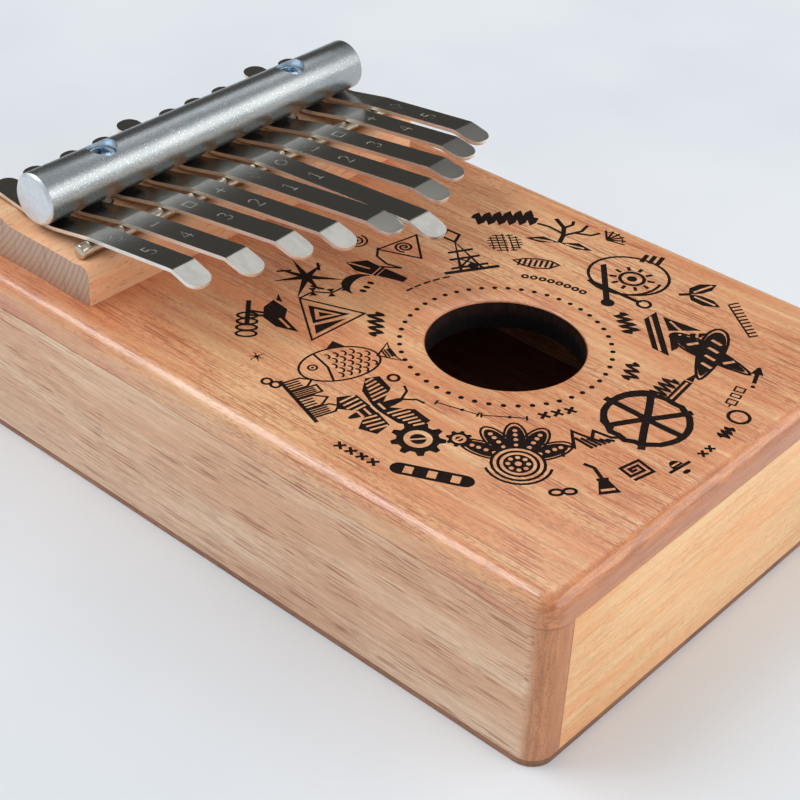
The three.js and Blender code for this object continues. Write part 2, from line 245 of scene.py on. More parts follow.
def flat_face(bm, outline, holes=(), z=0.0, marks=(), sink=0.0, lines=(), upward=True):
    """Fills an outline at a height. A mark is (points, kept): kept marks are sunk, and a later mark
    that isn't kept clears what lies under it. Lines are extra edges that the face is cut along."""
    corners = []
    edges = []
    for loop in [outline, *holes, *[points for points, _ in marks]]:
        first, count = len(corners), len(loop)
        edges += [(first + i, first + (i + 1) % count) for i in range(count)]
        corners += loop
    for start, end in lines:
        edges.append((len(corners), len(corners) + 1))
        corners += [start, end]
    points, _, triangles, *_ = geometry.delaunay_2d_cdt(corners, edges, [], 0, 1e-4, False)
    flat = np.array([tuple(p) for p in points])
    spots = flat[np.array(triangles)].mean(axis=1)
    kept = inside(spots, outline)
    for hole in holes:
        kept &= ~inside(spots, hole)
    sunk = marked(spots, marks)
    verts = [bm.verts.new((p.x, p.y, z)) for p in points]
    floor = []
    for triangle, keep, low in zip(triangles, kept, sunk):
        if keep:
            face = bm.faces.new([verts[i] for i in (triangle if upward else reversed(triangle))])
            if low:
                floor.append(face)
    bmesh.ops.delete(bm, geom=[v for v in verts if not v.link_faces], context="VERTS")
    if floor:
        extruded = bmesh.ops.extrude_face_region(bm, geom=floor)["geom"]
        bmesh.ops.delete(bm, geom=floor, context="FACES")
        lowered = [item for item in extruded if isinstance(item, bmesh.types.BMVert)]
        bmesh.ops.translate(bm, vec=(0, 0, -sink), verts=lowered)
        for vertex in lowered:
            for face in vertex.link_faces:
                face.material_index = 1


def ring_wall(bm, lower, upper):
    """Joins two loops of equal count, both anticlockwise, with a wall that faces outward."""
    count = len(lower)
    a = [bm.verts.new(p) for p in lower]
    b = [bm.verts.new(p) for p in upper]
    return [bm.faces.new((a[i], a[(i + 1) % count], b[(i + 1) % count], b[i])) for i in range(count)]


def at_height(points, z):
    return [Vector((p.x, p.y, z)) for p in points]


def prism(bm, outline, base, top):
    flat_face(bm, outline, z=top)
    flat_face(bm, outline, z=base, upward=False)
    ring_wall(bm, at_height(outline, base), at_height(outline, top))
    weld(bm)


def weld(bm, distance=2e-3):
    bmesh.ops.remove_doubles(bm, verts=bm.verts, dist=distance)


def ease_edges(bm, offset, segments=2, sharpest=50):
    """Rounds every edge that turns by more than the given angle in degrees."""
    limit = math.radians(sharpest)
    edges = [e for e in bm.edges if len(e.link_faces) == 2 and e.calc_face_angle(0) > limit]
    bmesh.ops.bevel(
        bm, geom=edges, offset=offset, segments=segments, profile=0.5, affect="EDGES",
        clamp_overlap=True,
    )


def lathe(profile, sides):
    """A mesh turned about Z from (radius, height) points, whose first and last are on the axis."""
    bm = bmesh.new()
    rings = []
    for radius, height in profile:
        outline = circle(radius, sides) if radius > 1e-6 else [Vector((0, 0))]
        rings.append([bm.verts.new(p) for p in at_height(outline, height)])
    for below, above in zip(rings, rings[1:]):
        for i in range(sides):
            j = (i + 1) % sides
            corners = [below[i % len(below)], below[j % len(below)]]
            corners += [above[j % len(above)], above[i % len(above)]]
            unique = list(dict.fromkeys(corners))
            if len(unique) > 2:
                bm.faces.new(unique)
    bmesh.ops.recalc_face_normals(bm, faces=bm.faces)
    return bm


def add_object(name, data):
    made = bpy.data.objects.new(name, data)
    bpy.context.scene.collection.objects.link(made)
    return made


def add_mesh(name, bm):
    """Puts a mesh in the scene as it is, and frees it."""
    mesh = bpy.data.meshes.new(name)
    bm.to_mesh(mesh)
    bm.free()
    return add_object(name, mesh)


def piece(name, bm, body, materials, stands_for, smooth_under=32, place=None):
    """Turns a mesh in millimetres into a piece of the object that rides on a CAD body."""
    bmesh.ops.scale(bm, vec=(MM, MM, MM), verts=bm.verts)
    if place is not None:
        bmesh.ops.transform(bm, matrix=place, verts=bm.verts)
    made = add_mesh(name, bm)
    mesh = made.data
    for material in materials:
        mesh.materials.append(material)
    mesh.polygons.foreach_set("use_smooth", [True] * len(mesh.polygons))
    mesh.set_sharp_from_angle(angle=math.radians(smooth_under))
    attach(made, body)
    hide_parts(*stands_for)
    return made


def cut(bm, cutters):
    """The mesh with each cutter mesh taken out of it, as a new mesh. The cutters are freed."""
    body, *tools = objects = [add_mesh("cut", source) for source in [bm, *cutters]]
    for tool in tools:
        modifier = body.modifiers.new("cut", "BOOLEAN")
        modifier.operation = "DIFFERENCE"
        modifier.solver = "EXACT"
        modifier.object = tool
    shown = body.evaluated_get(bpy.context.evaluated_depsgraph_get())
    result = bmesh.new()
    result.from_mesh(shown.to_mesh())
    shown.to_mesh_clear()
    for made in objects:
        mesh = made.data
        bpy.data.objects.remove(made)
        bpy.data.meshes.remove(mesh)
    return result


def upright_post(radius, base, top, x, y, sides=32):
    bm = bmesh.new()
    prism(bm, circle(radius, sides, (x, y)), base, top)
    return bm


# ---- Materials -----------------------------------------------------------------------------------

def tint(red, green, blue):
    """An sRGB colour of 0 to 255 as the linear colour that a shader takes."""
    linear = []
    for channel in (red, green, blue):
        c = channel / 255
        linear.append(c / 12.92 if c <= 0.04045 else ((c + 0.055) / 1.055) ** 2.4)
    return (*linear, 1.0)


class Finish:
    """A material's node tree, with short calls for the nodes used here. Lengths are millimetres."""

    def __init__(self, name, metallic=0.0, roughness=0.5, coat=0.0, coat_roughness=0.2, specular=0.5):
        self.material = bpy.data.materials.new(name)
        self.material.use_nodes = True
        self.tree = self.material.node_tree
        self.shader = self.tree.nodes["Principled BSDF"]
        for socket, value in (
            ("Metallic", metallic), ("Roughness", roughness), ("Specular IOR Level", specular),
            ("Coat Weight", coat), ("Coat IOR", LACQUER_IOR), ("Coat Roughness", coat_roughness),
        ):
            self.shader.inputs[socket].default_value = value
        self.source = self.tree.nodes.new("ShaderNodeTexCoord").outputs

    def feed(self, socket, value):
        if isinstance(value, bpy.types.NodeSocket):
            self.tree.links.new(value, socket)
        else:
            socket.default_value = value

    def node(self, kind, output, inputs, **settings):
        """Adds a node with its settings, feeds its inputs by name or place and gives one output."""
        node = self.tree.nodes.new("ShaderNode" + kind)
        for name, value in settings.items():
            setattr(node, name, value)
        for socket, value in inputs.items():
            self.feed(node.inputs[socket], value)
        return node.outputs[output]

    def coords(self, stretch=(1, 1, 1), offset=(0, 0, 0)):
        """Object coordinates in millimetres, each axis scaled by its stretch."""
        scale = [s / MM for s in stretch]
        inputs = {"Vector": self.source["Object"], "Scale": scale, "Location": offset}
        return self.node("Mapping", "Vector", inputs)

    def noise(self, vector, scale, detail=2.0, roughness=0.5, distortion=0.0):
        inputs = {"Vector": vector, "Scale": scale, "Detail": detail, "Roughness": roughness}
        return self.node("TexNoise", "Fac", {**inputs, "Distortion": distortion})

    def rings(self, vector, scale, distortion, detail_scale):
        inputs = {"Vector": vector, "Scale": scale, "Distortion": distortion, "Detail": 2.0}
        return self.node("TexWave", "Fac", {**inputs, "Detail Scale": detail_scale},
                         wave_type="RINGS", rings_direction="X")

    def span(self, value, low, high, to_low=0.0, to_high=1.0):
        """Maps low..high smoothly onto to_low..to_high."""
        inputs = {"Value": value, "From Min": low, "From Max": high}
        return self.node("MapRange", "Result", {**inputs, "To Min": to_low, "To Max": to_high},
                         interpolation_type="SMOOTHSTEP")

    def blend(self, factor, first, second, kind="MIX"):
        return self.node("Mix", 2, {"Factor": factor, 6: first, 7: second}, data_type="RGBA",
                         blend_type=kind)

    def work(self, operation, first, second=0.0, third=0.0):
        return self.node("Math", "Value", {0: first, 1: second, 2: third}, operation=operation)

    def along(self, vector, axis):
        return self.node("SeparateXYZ", axis, {"Vector": vector})

    def facing(self, axis):
        """How squarely a surface faces along the axis, 0 to 1, either way round."""
        return self.work("ABSOLUTE", self.along(self.source["Normal"], axis))

    def bump(self, height, distance, strength=1.0):
        """Raises the surface by a height of 0 to 1 times the distance in millimetres."""
        inputs = {"Height": height, "Distance": distance * MM, "Strength": strength}
        self.feed(self.shader.inputs["Normal"], self.node("Bump", "Normal", inputs))

    def colour(self, value):
        self.feed(self.shader.inputs["Base Color"], value)

    def rough(self, value):
        self.feed(self.shader.inputs["Roughness"], value)


def stretch_along(axis, share, across=1.0):
    stretch = [across] * 3
    stretch["XYZ".index(axis)] = share
    return stretch


def wood(name, light, dark, pore, end, end_dark, grain="Y", end_grain="X", seed=0.0, pore_share=0.5,
         gloss=0.42, coat=0.25, coat_roughness=0.28, figure=1.0, bridge_shade=None, short_pores_share=0.85):
    """Lacquered wood: broad figure, fine fibre, long open pores in clusters, darker end grain, and,
    where a shade tint is given, painted shade that deepens toward the bridge.
    """
    f = Finish(name, coat=coat, coat_roughness=coat_roughness)

    def texture(axis, share, *settings):
        place = f.coords(stretch_along(axis, share), (seed, seed * 1.7, seed * 0.6))
        return f.noise(place, *settings)

    broad = texture(grain, 0.16, 0.055, 3, 0.55, 0.8)
    streak = texture(grain, 0.03, 0.6, 4, 0.65, 0.4)
    fibre = texture(grain, 0.06, 4.2, 3, 0.65)
    pores = texture(grain, 0.027, 3.3, 2, 0.55)
    fine_pores = texture(grain, 0.13, 5.0, 1.0, 0.5)
    cluster = texture(grain, 0.25, 0.14, 3, 0.55, 0.8)

    amount = f.work("ADD", f.work("MULTIPLY", broad, 0.55 * figure), f.work("MULTIPLY", streak, 0.6))
    body = f.blend(f.span(amount, 0.4, 0.74), light, dark)
    tone = f.span(fibre, 0.3, 0.72, 0.9, 1.07)
    grey = f.node("CombineColor", "Color", {0: tone, 1: tone, 2: tone})
    body = f.blend(1.0, body, grey, "MULTIPLY")
    # Painted shade: toward the bridge the wood darkens into a redder tone, patchy with the pore
    # clusters, standing in for the shade of the bridge block
    if bridge_shade:
        toward = f.span(f.along(f.coords(), "Y"), -12.0, 42.0, 0.08, 0.85)
        spread = f.span(cluster, 0.25, 0.75, 0.5, 1.0)
        body = f.blend(f.work("MULTIPLY", toward, spread), body, bridge_shade)
    here = f.span(cluster, 0.4, 0.6, 0.3, 1.0)
    long_pores = f.work("MULTIPLY", f.span(pores, 0.53, 0.61), here)
    short_pores = f.span(fine_pores, 0.52, 0.62, 0.0, short_pores_share)
    short_pores = f.work("MULTIPLY", short_pores, f.span(cluster, 0.3, 0.62, 0.35, 1.0))
    open_pores = f.work("MAXIMUM", long_pores, short_pores)
    body = f.blend(f.work("MULTIPLY", open_pores, pore_share), body, pore)

    squarely = f.span(f.facing(grain), 0.08, 0.55)
    layers = texture(end_grain, 0.12, 1.1, 4, 0.6, 0.5)
    pits = texture(end_grain, 0.55, 3.4, 2, 0.6)
    grain_end = f.blend(f.span(layers, 0.34, 0.66), end, end_dark)
    grain_end = f.blend(f.span(pits, 0.5, 0.66, 0.0, 0.42), grain_end, pore)
    flat_end = f.span(f.facing(grain), 0.86, 0.99, 0.0, 0.5)
    grain_end = f.blend(flat_end, grain_end, end_dark)
    f.colour(f.blend(squarely, body, grain_end))
    dull = f.work("MULTIPLY_ADD", open_pores, 0.18, gloss)
    f.rough(f.work("MULTIPLY_ADD", f.span(broad, 0.3, 0.7), 0.06, dull))
    raised = f.work("MULTIPLY_ADD", open_pores, -0.8, 1.0)
    f.bump(f.work("MULTIPLY_ADD", fibre, 0.18, raised), 0.05, 0.7)
    return f.material


def burned_wood():
    f = Finish("burned_wood", roughness=0.75, specular=0.15)
    char = f.noise(f.coords(), 2.2, 4, 0.6)
    edge = f.noise(f.coords((1, 0.12, 1)), 3.0, 2, 0.5)
    dark = f.blend(f.span(char, 0.35, 0.7), tint(10, 6, 5), tint(40, 22, 14))
    f.colour(f.blend(f.span(edge, 0.58, 0.75, 0.0, 0.45), dark, tint(86, 48, 30)))
    f.rough(f.span(char, 0.3, 0.7, 0.6, 0.9))
    f.bump(char, 0.05)
    return f.material


def scorched_rim():
    """The wall of the sound hole, scorched black but for a thin browner band under its lip, with
    painted shade that turns it near black toward its foot, deep in the hole.
    """
    f = Finish("scorched_rim", roughness=0.7, specular=0.2)
    char = f.noise(f.coords((1, 1, 0.25)), 1.4, 4, 0.6)
    layer = f.noise(f.coords((0.05, 0.05, 1)), 1.3, 1, 0.4)
    dark = f.blend(f.span(char, 0.35, 0.7), tint(22, 11, 9), tint(52, 28, 20))
    dark = f.blend(f.span(layer, 0.45, 0.6, 0.0, 0.5), dark, tint(34, 17, 13))
    # Painted shade: the wall turns near black toward its foot, deep in the hole
    low = f.span(f.along(f.coords(), "Z"), LID_UNDERSIDE + 2.2, BODY_HEIGHT - 1.6, 1.0, 0.0)
    f.colour(f.blend(low, dark, tint(9, 4, 4)))
    f.rough(f.span(char, 0.3, 0.7, 0.6, 0.9))
    f.bump(char, 0.1)
    return f.material


def beech():
    """Beech with short dark flecks on its long faces and slanting growth rings on its ends."""
    f = Finish("beech_block", roughness=0.5, coat=0.12, coat_roughness=0.3)
    fine = f.noise(f.coords((0.07, 1, 1)), 1.1, 4, 0.6, 0.3)
    fleck = f.noise(f.coords((0.16, 1, 1)), 3.1, 1.5, 0.5)
    broad = f.noise(f.coords((0.05, 0.4, 0.4)), 0.3, 2, 0.5)
    body = f.blend(f.span(fine, 0.3, 0.72), tint(255, 208, 164), tint(248, 178, 128))
    body = f.blend(f.span(broad, 0.35, 0.7, 0.0, 0.5), body, tint(246, 182, 132))
    marks = f.span(fleck, 0.6, 0.72)
    body = f.blend(f.work("MULTIPLY", marks, 0.45), body, tint(160, 98, 62))
    slant = {"Rotation": (math.radians(49), 0, 0), "Location": (0, -8, -110)}
    slanted = f.node("Mapping", "Vector", {"Vector": f.coords((0.02, 1, 1)), **slant})
    years = f.rings(slanted, 0.26, 0.9, 0.12)
    rays = f.noise(f.coords((0.02, 0.7, 0.1), (0, 7, 0)), 1.5, 1.5, 0.5, 0.3)
    pits = f.noise(f.coords((0.3, 1, 1)), 5.0, 2, 0.6)
    sawn = f.blend(f.span(years, 0.6, 0.95, 0.0, 0.45), tint(208, 172, 148), tint(156, 120, 98))
    sawn = f.blend(f.span(rays, 0.54, 0.66, 0.0, 0.35), sawn, tint(160, 126, 106))
    sawn = f.blend(f.span(pits, 0.5, 0.7, 0.0, 0.55), sawn, tint(104, 78, 66))
    f.colour(f.blend(f.span(f.facing("X"), 0.5, 0.9), body, sawn))
    f.rough(f.span(fine, 0.3, 0.7, 0.42, 0.6))
    rise = f.work("MULTIPLY_ADD", marks, -0.7, 1.0)
    f.bump(f.work("MULTIPLY_ADD", pits, -0.4, rise), 0.05, 0.8)
    return f.material


def blasted_aluminium():
    """Bead-blasted aluminium: a fine sparkle, faint blotches and a few handling marks."""
    f = Finish("bar_aluminium", metallic=1.0, roughness=0.34)
    grit = f.noise(f.coords(), 6.5, 2, 0.6)
    beads = f.node("TexVoronoi", "Distance", {"Vector": f.coords(), "Scale": 2.0})
    cloud = f.noise(f.coords((0.3, 1, 1)), 0.22, 3, 0.6)
    bright = f.span(beads, 0.0, 0.34, 1.0, 0.0)
    body = f.blend(f.span(cloud, 0.3, 0.7), tint(164, 169, 171), tint(174, 178, 180))
    body = f.blend(f.work("MULTIPLY", bright, 0.85), body, tint(250, 252, 253))
    f.colour(f.blend(f.span(grit, 0.52, 0.72, 0.0, 0.35), body, tint(110, 113, 115)))
    sheen = f.span(grit, 0.3, 0.72, 0.24, 0.34)
    f.rough(f.work("MULTIPLY_ADD", bright, -0.08, sheen))
    f.bump(f.work("MULTIPLY_ADD", bright, 0.6, grit), 0.03, 0.9)
    return f.material


def turned_aluminium():
    """The bar's machined faces: concentric tool marks on a paler, flatter metal."""
    f = Finish("bar_turned_face", metallic=1.0, roughness=0.42)
    turned = f.rings(f.coords((1, 1, 1), (0, -BAR_Y, -BAR_Z)), 1.6, 0.4, 1.0)
    cloud = f.noise(f.coords(), 0.9, 3, 0.6)
    f.colour(f.blend(f.span(cloud, 0.3, 0.7), tint(222, 226, 229), tint(236, 239, 241)))
    f.rough(f.span(cloud, 0.3, 0.7, 0.36, 0.5))
    f.bump(turned, 0.006, 0.6)
    return f.material


def brushed_steel(name, light, dark, across, roughness, seed):
    """Polished spring steel with fine lengthwise scratches, soft smears and specks of dullness."""
    f = Finish(name, metallic=1.0, roughness=roughness)
    scratch = f.noise(f.coords(stretch_along(across, 1.0, 0.06), (seed, seed, seed)), 7.0, 3, 0.6)
    smear = f.noise(f.coords((1, 0.5, 1), (seed, 0, seed)), 0.5, 3, 0.55, 0.4)
    f.colour(f.blend(f.span(smear, 0.3, 0.7), light, dark))
    dull = f.span(smear, 0.35, 0.75, roughness * 0.95, roughness * 1.08)
    f.rough(f.work("MULTIPLY_ADD", f.span(scratch, 0.4, 0.8), 0.015, dull))
    f.bump(scratch, 0.0008, 0.5)
    return f.material


def zinc_plate():
    f = Finish("screw_zinc", metallic=1.0, roughness=0.2)
    film = f.noise(f.coords(), 0.8, 3, 0.6)
    f.colour(f.blend(f.span(film, 0.3, 0.7), tint(150, 186, 214), tint(206, 218, 226)))
    f.rough(f.span(film, 0.3, 0.7, 0.14, 0.3))
    f.bump(film, 0.02, 0.5)
    return f.material


# The lid's redder shade tint is painted shade that deepens toward the bridge
MAHOGANY_LID = wood(
    "mahogany_lid", tint(255, 210, 156), tint(232, 154, 102), tint(170, 82, 50), tint(226, 142, 76),
    tint(184, 106, 54), seed=3.0, pore_share=0.74, coat=1.0, coat_roughness=0.22, figure=1.15,
    bridge_shade=tint(218, 126, 76), short_pores_share=0.7,
)
MAHOGANY_SIDE = wood(
    "mahogany_side", tint(254, 222, 186), tint(232, 180, 142), tint(156, 80, 54), tint(214, 146, 98),
    tint(186, 120, 76), end_grain="Z", seed=41.0, pore_share=0.66, figure=1.2, coat=0.3,
    short_pores_share=0.25,
)
PALE_PANEL = wood(
    "pale_end_panel", tint(255, 214, 160), tint(255, 186, 126), tint(220, 138, 84),
    tint(206, 136, 86), tint(180, 110, 66), grain="X", end_grain="Y", seed=17.0, pore_share=0.4,
    coat=0.15,
)
DARK_BACK = wood(
    "dark_back", tint(176, 124, 92), tint(148, 100, 74), tint(92, 56, 40), tint(170, 118, 88),
    tint(126, 84, 60), seed=29.0, coat=0.1, gloss=0.5,
)
BRACE_WOOD = wood(
    "brace_wood", tint(226, 198, 156), tint(206, 170, 124), tint(170, 126, 84), tint(200, 160, 118),
    tint(172, 130, 90), grain="X", end_grain="Y", seed=53.0, coat=0.0, gloss=0.65, pore_share=0.25,
)
BURNED = burned_wood()
SCORCHED = scorched_rim()
BEECH = beech()
BAR_METAL = blasted_aluminium()
BAR_FACE = turned_aluminium()
TINE_STEEL = brushed_steel("tine_steel", tint(170, 167, 160), tint(164, 161, 154), "X", 0.2, 5.0)
STAMPED = brushed_steel("tine_stamp", tint(204, 201, 194), tint(184, 181, 174), "X", 0.36, 11.0)
# Near-white, rough steel for the tines' eased edges: a painted highlight along each edge
TINE_EDGE_HIGHLIGHT = brushed_steel("tine_edge_highlight", tint(252, 250, 244), tint(238, 235, 228), "Y", 0.42, 8.0)
ROD_STEEL = brushed_steel("rod_steel", tint(206, 192, 172), tint(176, 162, 144), "Y", 0.2, 23.0)
ZINC = zinc_plate()


# ---- The drawing round the sound hole ------------------------------------------------------------

# Motifs by name, as strokes, one to a line. A stroke is its kind, with "clear" before it where it
# leaves bare wood, then a line's width, a disc's radius or an oval's half width, then its points, in
# hundredths of the motif's size. An oval's half height comes last.
STROKES = dict(motif.split("\n", 1) for motif in """sail
area 0 115 95 -10 6 -2
area -12 95 -85 -5 -10 0
clear line 6 0 80 28.5 73.5
clear line 6 0 55 52.25 44.75
clear line 6 0 30 76 16
clear line 6 -10 35 -60 12
area -110 -20 120 -20 80 -62 -70 -62
clear line 6 -85 -42 95 -42

arrow
line 22 0 -100 0 20
area -42 10 42 10 12 95 -10 95
disc 16 0 -140

chain
loop 13 -140 -42 -70 -42 -70 42 -140 42
loop 13 -25 -42 25 -42 25 42 -25 42
loop 13 70 -42 140 -42 140 42 70 42
line 13 -150 0 -185 0

square_spiral
line 22 -100 -80 100 -80 100 90 -90 90 -90 -30 50 -30 50 45 -40 45 -40 10 10 10

flask
area -55 -100 55 -100 22 10 -22 10
line 14 -30 10 30 10
line 16 0 10 -10 100 -50 140
clear line 12 -35 -70 35 -70

hills
line 12 -140 -30 -100 30 -70 0 -20 90 20 15 55 55 90 -10 140 -35
line 11 -35 50 -10 -35
line 11 -15 38 10 -35
line 11 5 26 30 -35
line 11 25 14 50 -35
line 11 45 2 70 -35
line 11 65 -10 90 -35

bird
area -90 -10 -30 45 30 40 120 95 90 10 30 -40 -40 -42
area -90 0 -135 5 -75 25
clear line 7 35 20 95 60
line 10 0 -40 -10 -95
line 10 20 -38 20 -95
line 14 -80 -100 90 -95

brush
area -130 -20 -20 -34 -20 30 -130 16
line 10 -10 -38 -10 36
area 2 -36 70 -50 135 10 70 46 2 36
clear line 7 30 0 125 8

kite
loop 6 -100 -70 110 -55 -10 100
area -62 -50 30 -45 -10 60
area 40 -42 82 -42 10 50
clear loop 9 -35 -30 -10 25 5 -30
line 5 -100 -70 -130 -30 -120 20 -150 60
area -150 -18 -150 -42 -110 -18 -110 -42
area -142 32 -142 8 -102 32 -102 8
area -170 72 -170 48 -130 72 -130 48

tree
line 12 0 -50 0 0 -10 50 -50 100
line 8.5 0 0 50 50 60 95
line 8.5 0 10 -60 40 -100 45
line 8.5 30 30 85 35 110 60
line 8.5 -10 50 12 80 10 105
area 0 -50 -60 -30 -115 -62 -60 -72
clear line 6 -20 -52 -85 -57
area 0 -50 60 -30 115 -62 60 -72
clear line 6 20 -52 85 -57

leaf_pair
area 0 -70 -55 -65 -100 -10 -105 75 -45 45 -10 -10
clear line 10 -20 -45 -90 50
area 0 -70 55 -65 100 -10 105 75 45 45 10 -10
clear line 10 20 -45 90 50
line 16 0 -60 10 -120

hatched_leaf
loop 9 -110 0 -60 42 10 48 70 30 120 -10 60 -36 -10 -42 -70 -32
line 10 -80 -30 -68 34
line 10 -53 -30 -41 34
line 10 -26 -30 -14 34
line 10 1 -30 13 34
line 10 28 -30 40 34
line 10 55 -30 67 34
line 10 82 -30 94 34

mast
line 8 -35 -100 0 70 35 -100
line 9 -61.5 -83 61.5 -77
line 9 -51 -32 51 -26
line 9 -42.25 10.5 42.25 16.5
line 6 -30 -80 20 -30
line 6 30 -80 -20 -30
loop 8 0 70 -28 110 0 150 28 110
line 12 -90 -105 90 -100
oval 16 10 -82 20

pencil
area -120 -20 50 -16 50 20 -120 16
clear line 7 -100 0 40 2
area 56 -14 125 3 56 18

cap_brim
line 22 -120 -12 120 -20
clear line 12 -40 32 45 28
oval 40 0 -85 22

sticks
area 25 135 40 140 75 -30 62 -40
area -50 112 -38 120 95 55 90 44
disc 17 30 140""".split("\n\n"))


class Pen:
    """Draws on the lid about one point of the ring, with up toward the hole, in units of its size."""

    def __init__(self, marks, angle, radius, turn=0.0, size=1.0):
        self.marks = marks
        self.size = size
        outward = Vector((math.cos(math.radians(angle)), math.sin(math.radians(angle))))
        self.origin = Vector((0, HOLE_Y)) + outward * radius
        self.up = Matrix.Rotation(math.radians(turn), 2) @ -outward
        self.right = Vector((self.up.y, -self.up.x))

    def put(self, point):
        return self.origin + (self.right * point[0] + self.up * point[1]) * self.size

    def area(self, points, burned=True):
        self.marks.append(([self.put(p) for p in points], burned))

    def line(self, points, width, closed=False, burned=True):
        wide = width * self.size * STROKE_WEIGHT
        for quad in strip([self.put(p) for p in points], wide, closed):
            self.marks.append((quad, burned))

    def clear(self, points, width):
        self.line(points, width, burned=False)

    def disc(self, x, y, radius, burned=True, tall=1.0):
        count = 20 if radius * self.size > 1 else 12
        self.area(oval(x, y, radius, radius * tall, count), burned)

    def ring(self, x, y, radius, width, tall=1.0, burned=True):
        self.line(oval(x, y, radius, radius * tall), width, True, burned)

    def trace(self, name):
        """Draws one of the motifs in STROKES."""
        for stroke in STROKES[name].splitlines():
            kind, *numbers = stroke.removeprefix("clear ").split()
            burned = not stroke.startswith("clear")
            numbers = [float(number) / 100 for number in numbers]
            width = 0.0 if kind == "area" else numbers.pop(0)
            points = list(zip(numbers[::2], numbers[1::2]))
            if kind == "area":
                self.area(points, burned)
            elif kind == "disc":
                self.disc(*points[0], width, burned)
            elif kind == "oval":
                self.area(oval(*points[0], width, numbers[2], 12), burned)
            else:
                self.line(points, width, kind == "loop", burned)


def wave(length, height, turns, lean=0.3, fade=0.0):
    """Points of a scribbled wave that leans like handwriting."""
    points = []
    steps = turns * 7
    for i in range(steps + 1):
        share = i / steps
        tall = height * (1 - fade * share) / 2 * math.sin(2 * math.pi * turns * share)
        points.append((length * (share - 0.5) + lean * tall, tall))
    return points


def spiral(turns, reach, x=0.0, y=0.0, steps=14):
    points = []
    for i in range(int(turns * steps) + 1):
        angle = 2 * math.pi * i / steps
        radius = reach * (i + 1) / (turns * steps + 1)
        points.append((x + radius * math.cos(angle), y + radius * math.sin(angle)))
    return points


def draw_scribble(pen, length, height, turns, width):
    pen.line(wave(length, height, turns, fade=0.35), width)


def draw_gear(pen, teeth):
    """A toothed wheel with a clear middle, a small hub and one slot."""
    rim = []
    for i in range(teeth):
        for share, reach in ((0.0, 0.78), (0.18, 1.0), (0.48, 1.0), (0.66, 0.78)):
            angle = 2 * math.pi * (i + share) / teeth
            rim.append((reach * math.cos(angle), reach * math.sin(angle)))
    pen.area(rim)
    pen.disc(0, 0, 0.52, burned=False)
    pen.disc(0, 0, 0.3)
    pen.clear([(-0.3, -0.16), (0.3, 0.16)], 0.3 / pen.size)


def draw_flower(pen):
    """A round medallion with rings of beads, under five long petals with beaded middles."""
    for lean in (-62, -30, 0, 30, 62):
        angle = math.radians(lean)
        along = Vector((math.sin(angle), math.cos(angle)))
        across = Vector((along.y, -along.x))
        middle = along * 0.72
        petal = [middle + along * y + across * x for x, y in oval(0, 0, 0.19, 0.42, 20)]
        pen.area(petal)
        for bead in (0.5, 0.68, 0.84, 0.98):
            pen.disc(*(along * bead), 0.05, burned=False)
        pen.line([middle + (p - middle) * 1.22 for p in petal], 0.04, True)
    pen.disc(0, -0.1, 0.56)
    pen.ring(0, -0.1, 0.46, 0.05, burned=False)
    pen.ring(0, -0.1, 0.33, 0.05, burned=False)
    for x, y in oval(0, -0.1, 0.2, 0.2, 8):
        pen.disc(x, y, 0.05, burned=False)
    pen.disc(0, -0.1, 0.07, burned=False)
    pen.line(oval(0, -0.1, 0.66, 0.64, 28)[15:28], 0.045)


def draw_wheel(pen):
    """A hand-drawn hoop with six brushed spokes that run past it."""
    hoop = [(x * (1 + 0.04 * math.sin(3 * i)), y) for i, (x, y) in enumerate(oval(0, 0, 1, 1, 30))]
    pen.line(hoop, 0.13, True)
    pen.line(oval(0.1, 0.04, 1.02, 0.98, 30)[2:14], 0.1)
    for angle, reach in ((20, 1.0), (80, 1.2), (140, 1.0), (200, 1.22), (262, 1.0), (318, 1.15)):
        spoke = []
        for share in (0, 0.3, 0.7, 1):
            turn = math.radians(angle) + 0.06 * share
            spoke.append((reach * share * math.cos(turn), reach * share * math.sin(turn)))
        pen.line(spoke, 0.14)
    pen.disc(0, 0, 0.2)


def draw_moth(pen):
    """A moth seen from above: a banded body and four hatched wings."""
    upper = [(0.1, 0.25), (0.5, 0.75), (1.05, 0.8), (1.15, 0.45), (0.75, 0.1), (0.12, -0.02)]
    lower = [(0.1, -0.05), (0.7, -0.1), (0.85, -0.55), (0.45, -0.8), (0.1, -0.4)]
    for side in (-1, 1):
        for wing in (upper, lower):
            pen.area([(side * x, y) for x, y in wing])
        for i in range(6):
            x = 0.3 + 0.14 * i
            pen.clear([(side * x, 0.1 + 0.05 * i), (side * (x + 0.06), 0.62)], 0.045)
        for i in range(4):
            x = 0.24 + 0.15 * i
            pen.clear([(side * x, -0.14), (side * (x - 0.06), -0.6)], 0.045)
        pen.line([(0, 0.7), (side * 0.2, 1.0), (side * 0.42, 1.08)], 0.05)
    pen.area(oval(0, 0, 0.14, 0.78, 20))
    for y in (-0.45, -0.25, -0.05, 0.15):
        pen.clear([(-0.14, y), (0.14, y)], 0.05)


def draw_houses(pen):
    """A row of little roofs and towers with hatched walls."""
    left = -1.5
    for wide, tall, roof in ((0.7, 0.9, 0.4), (0.55, 1.3, 0.0), (0.8, 0.8, 0.5), (0.6, 1.1, 0.3)):
        right = left + wide
        ridge = ((left + right) / 2, tall + roof)
        pen.line([(left, 0), (left, tall), ridge, (right, tall), (right, 0)], 0.35 / pen.size)
        for i in range(1, 4):
            step = left + wide * i / 4
            pen.line([(step, 0.08), (step, tall * 0.85)], 0.32 / pen.size)
        left += wide + 0.08
    pen.line([(-1.7, 0), (1.75, 0)], 0.6 / pen.size)


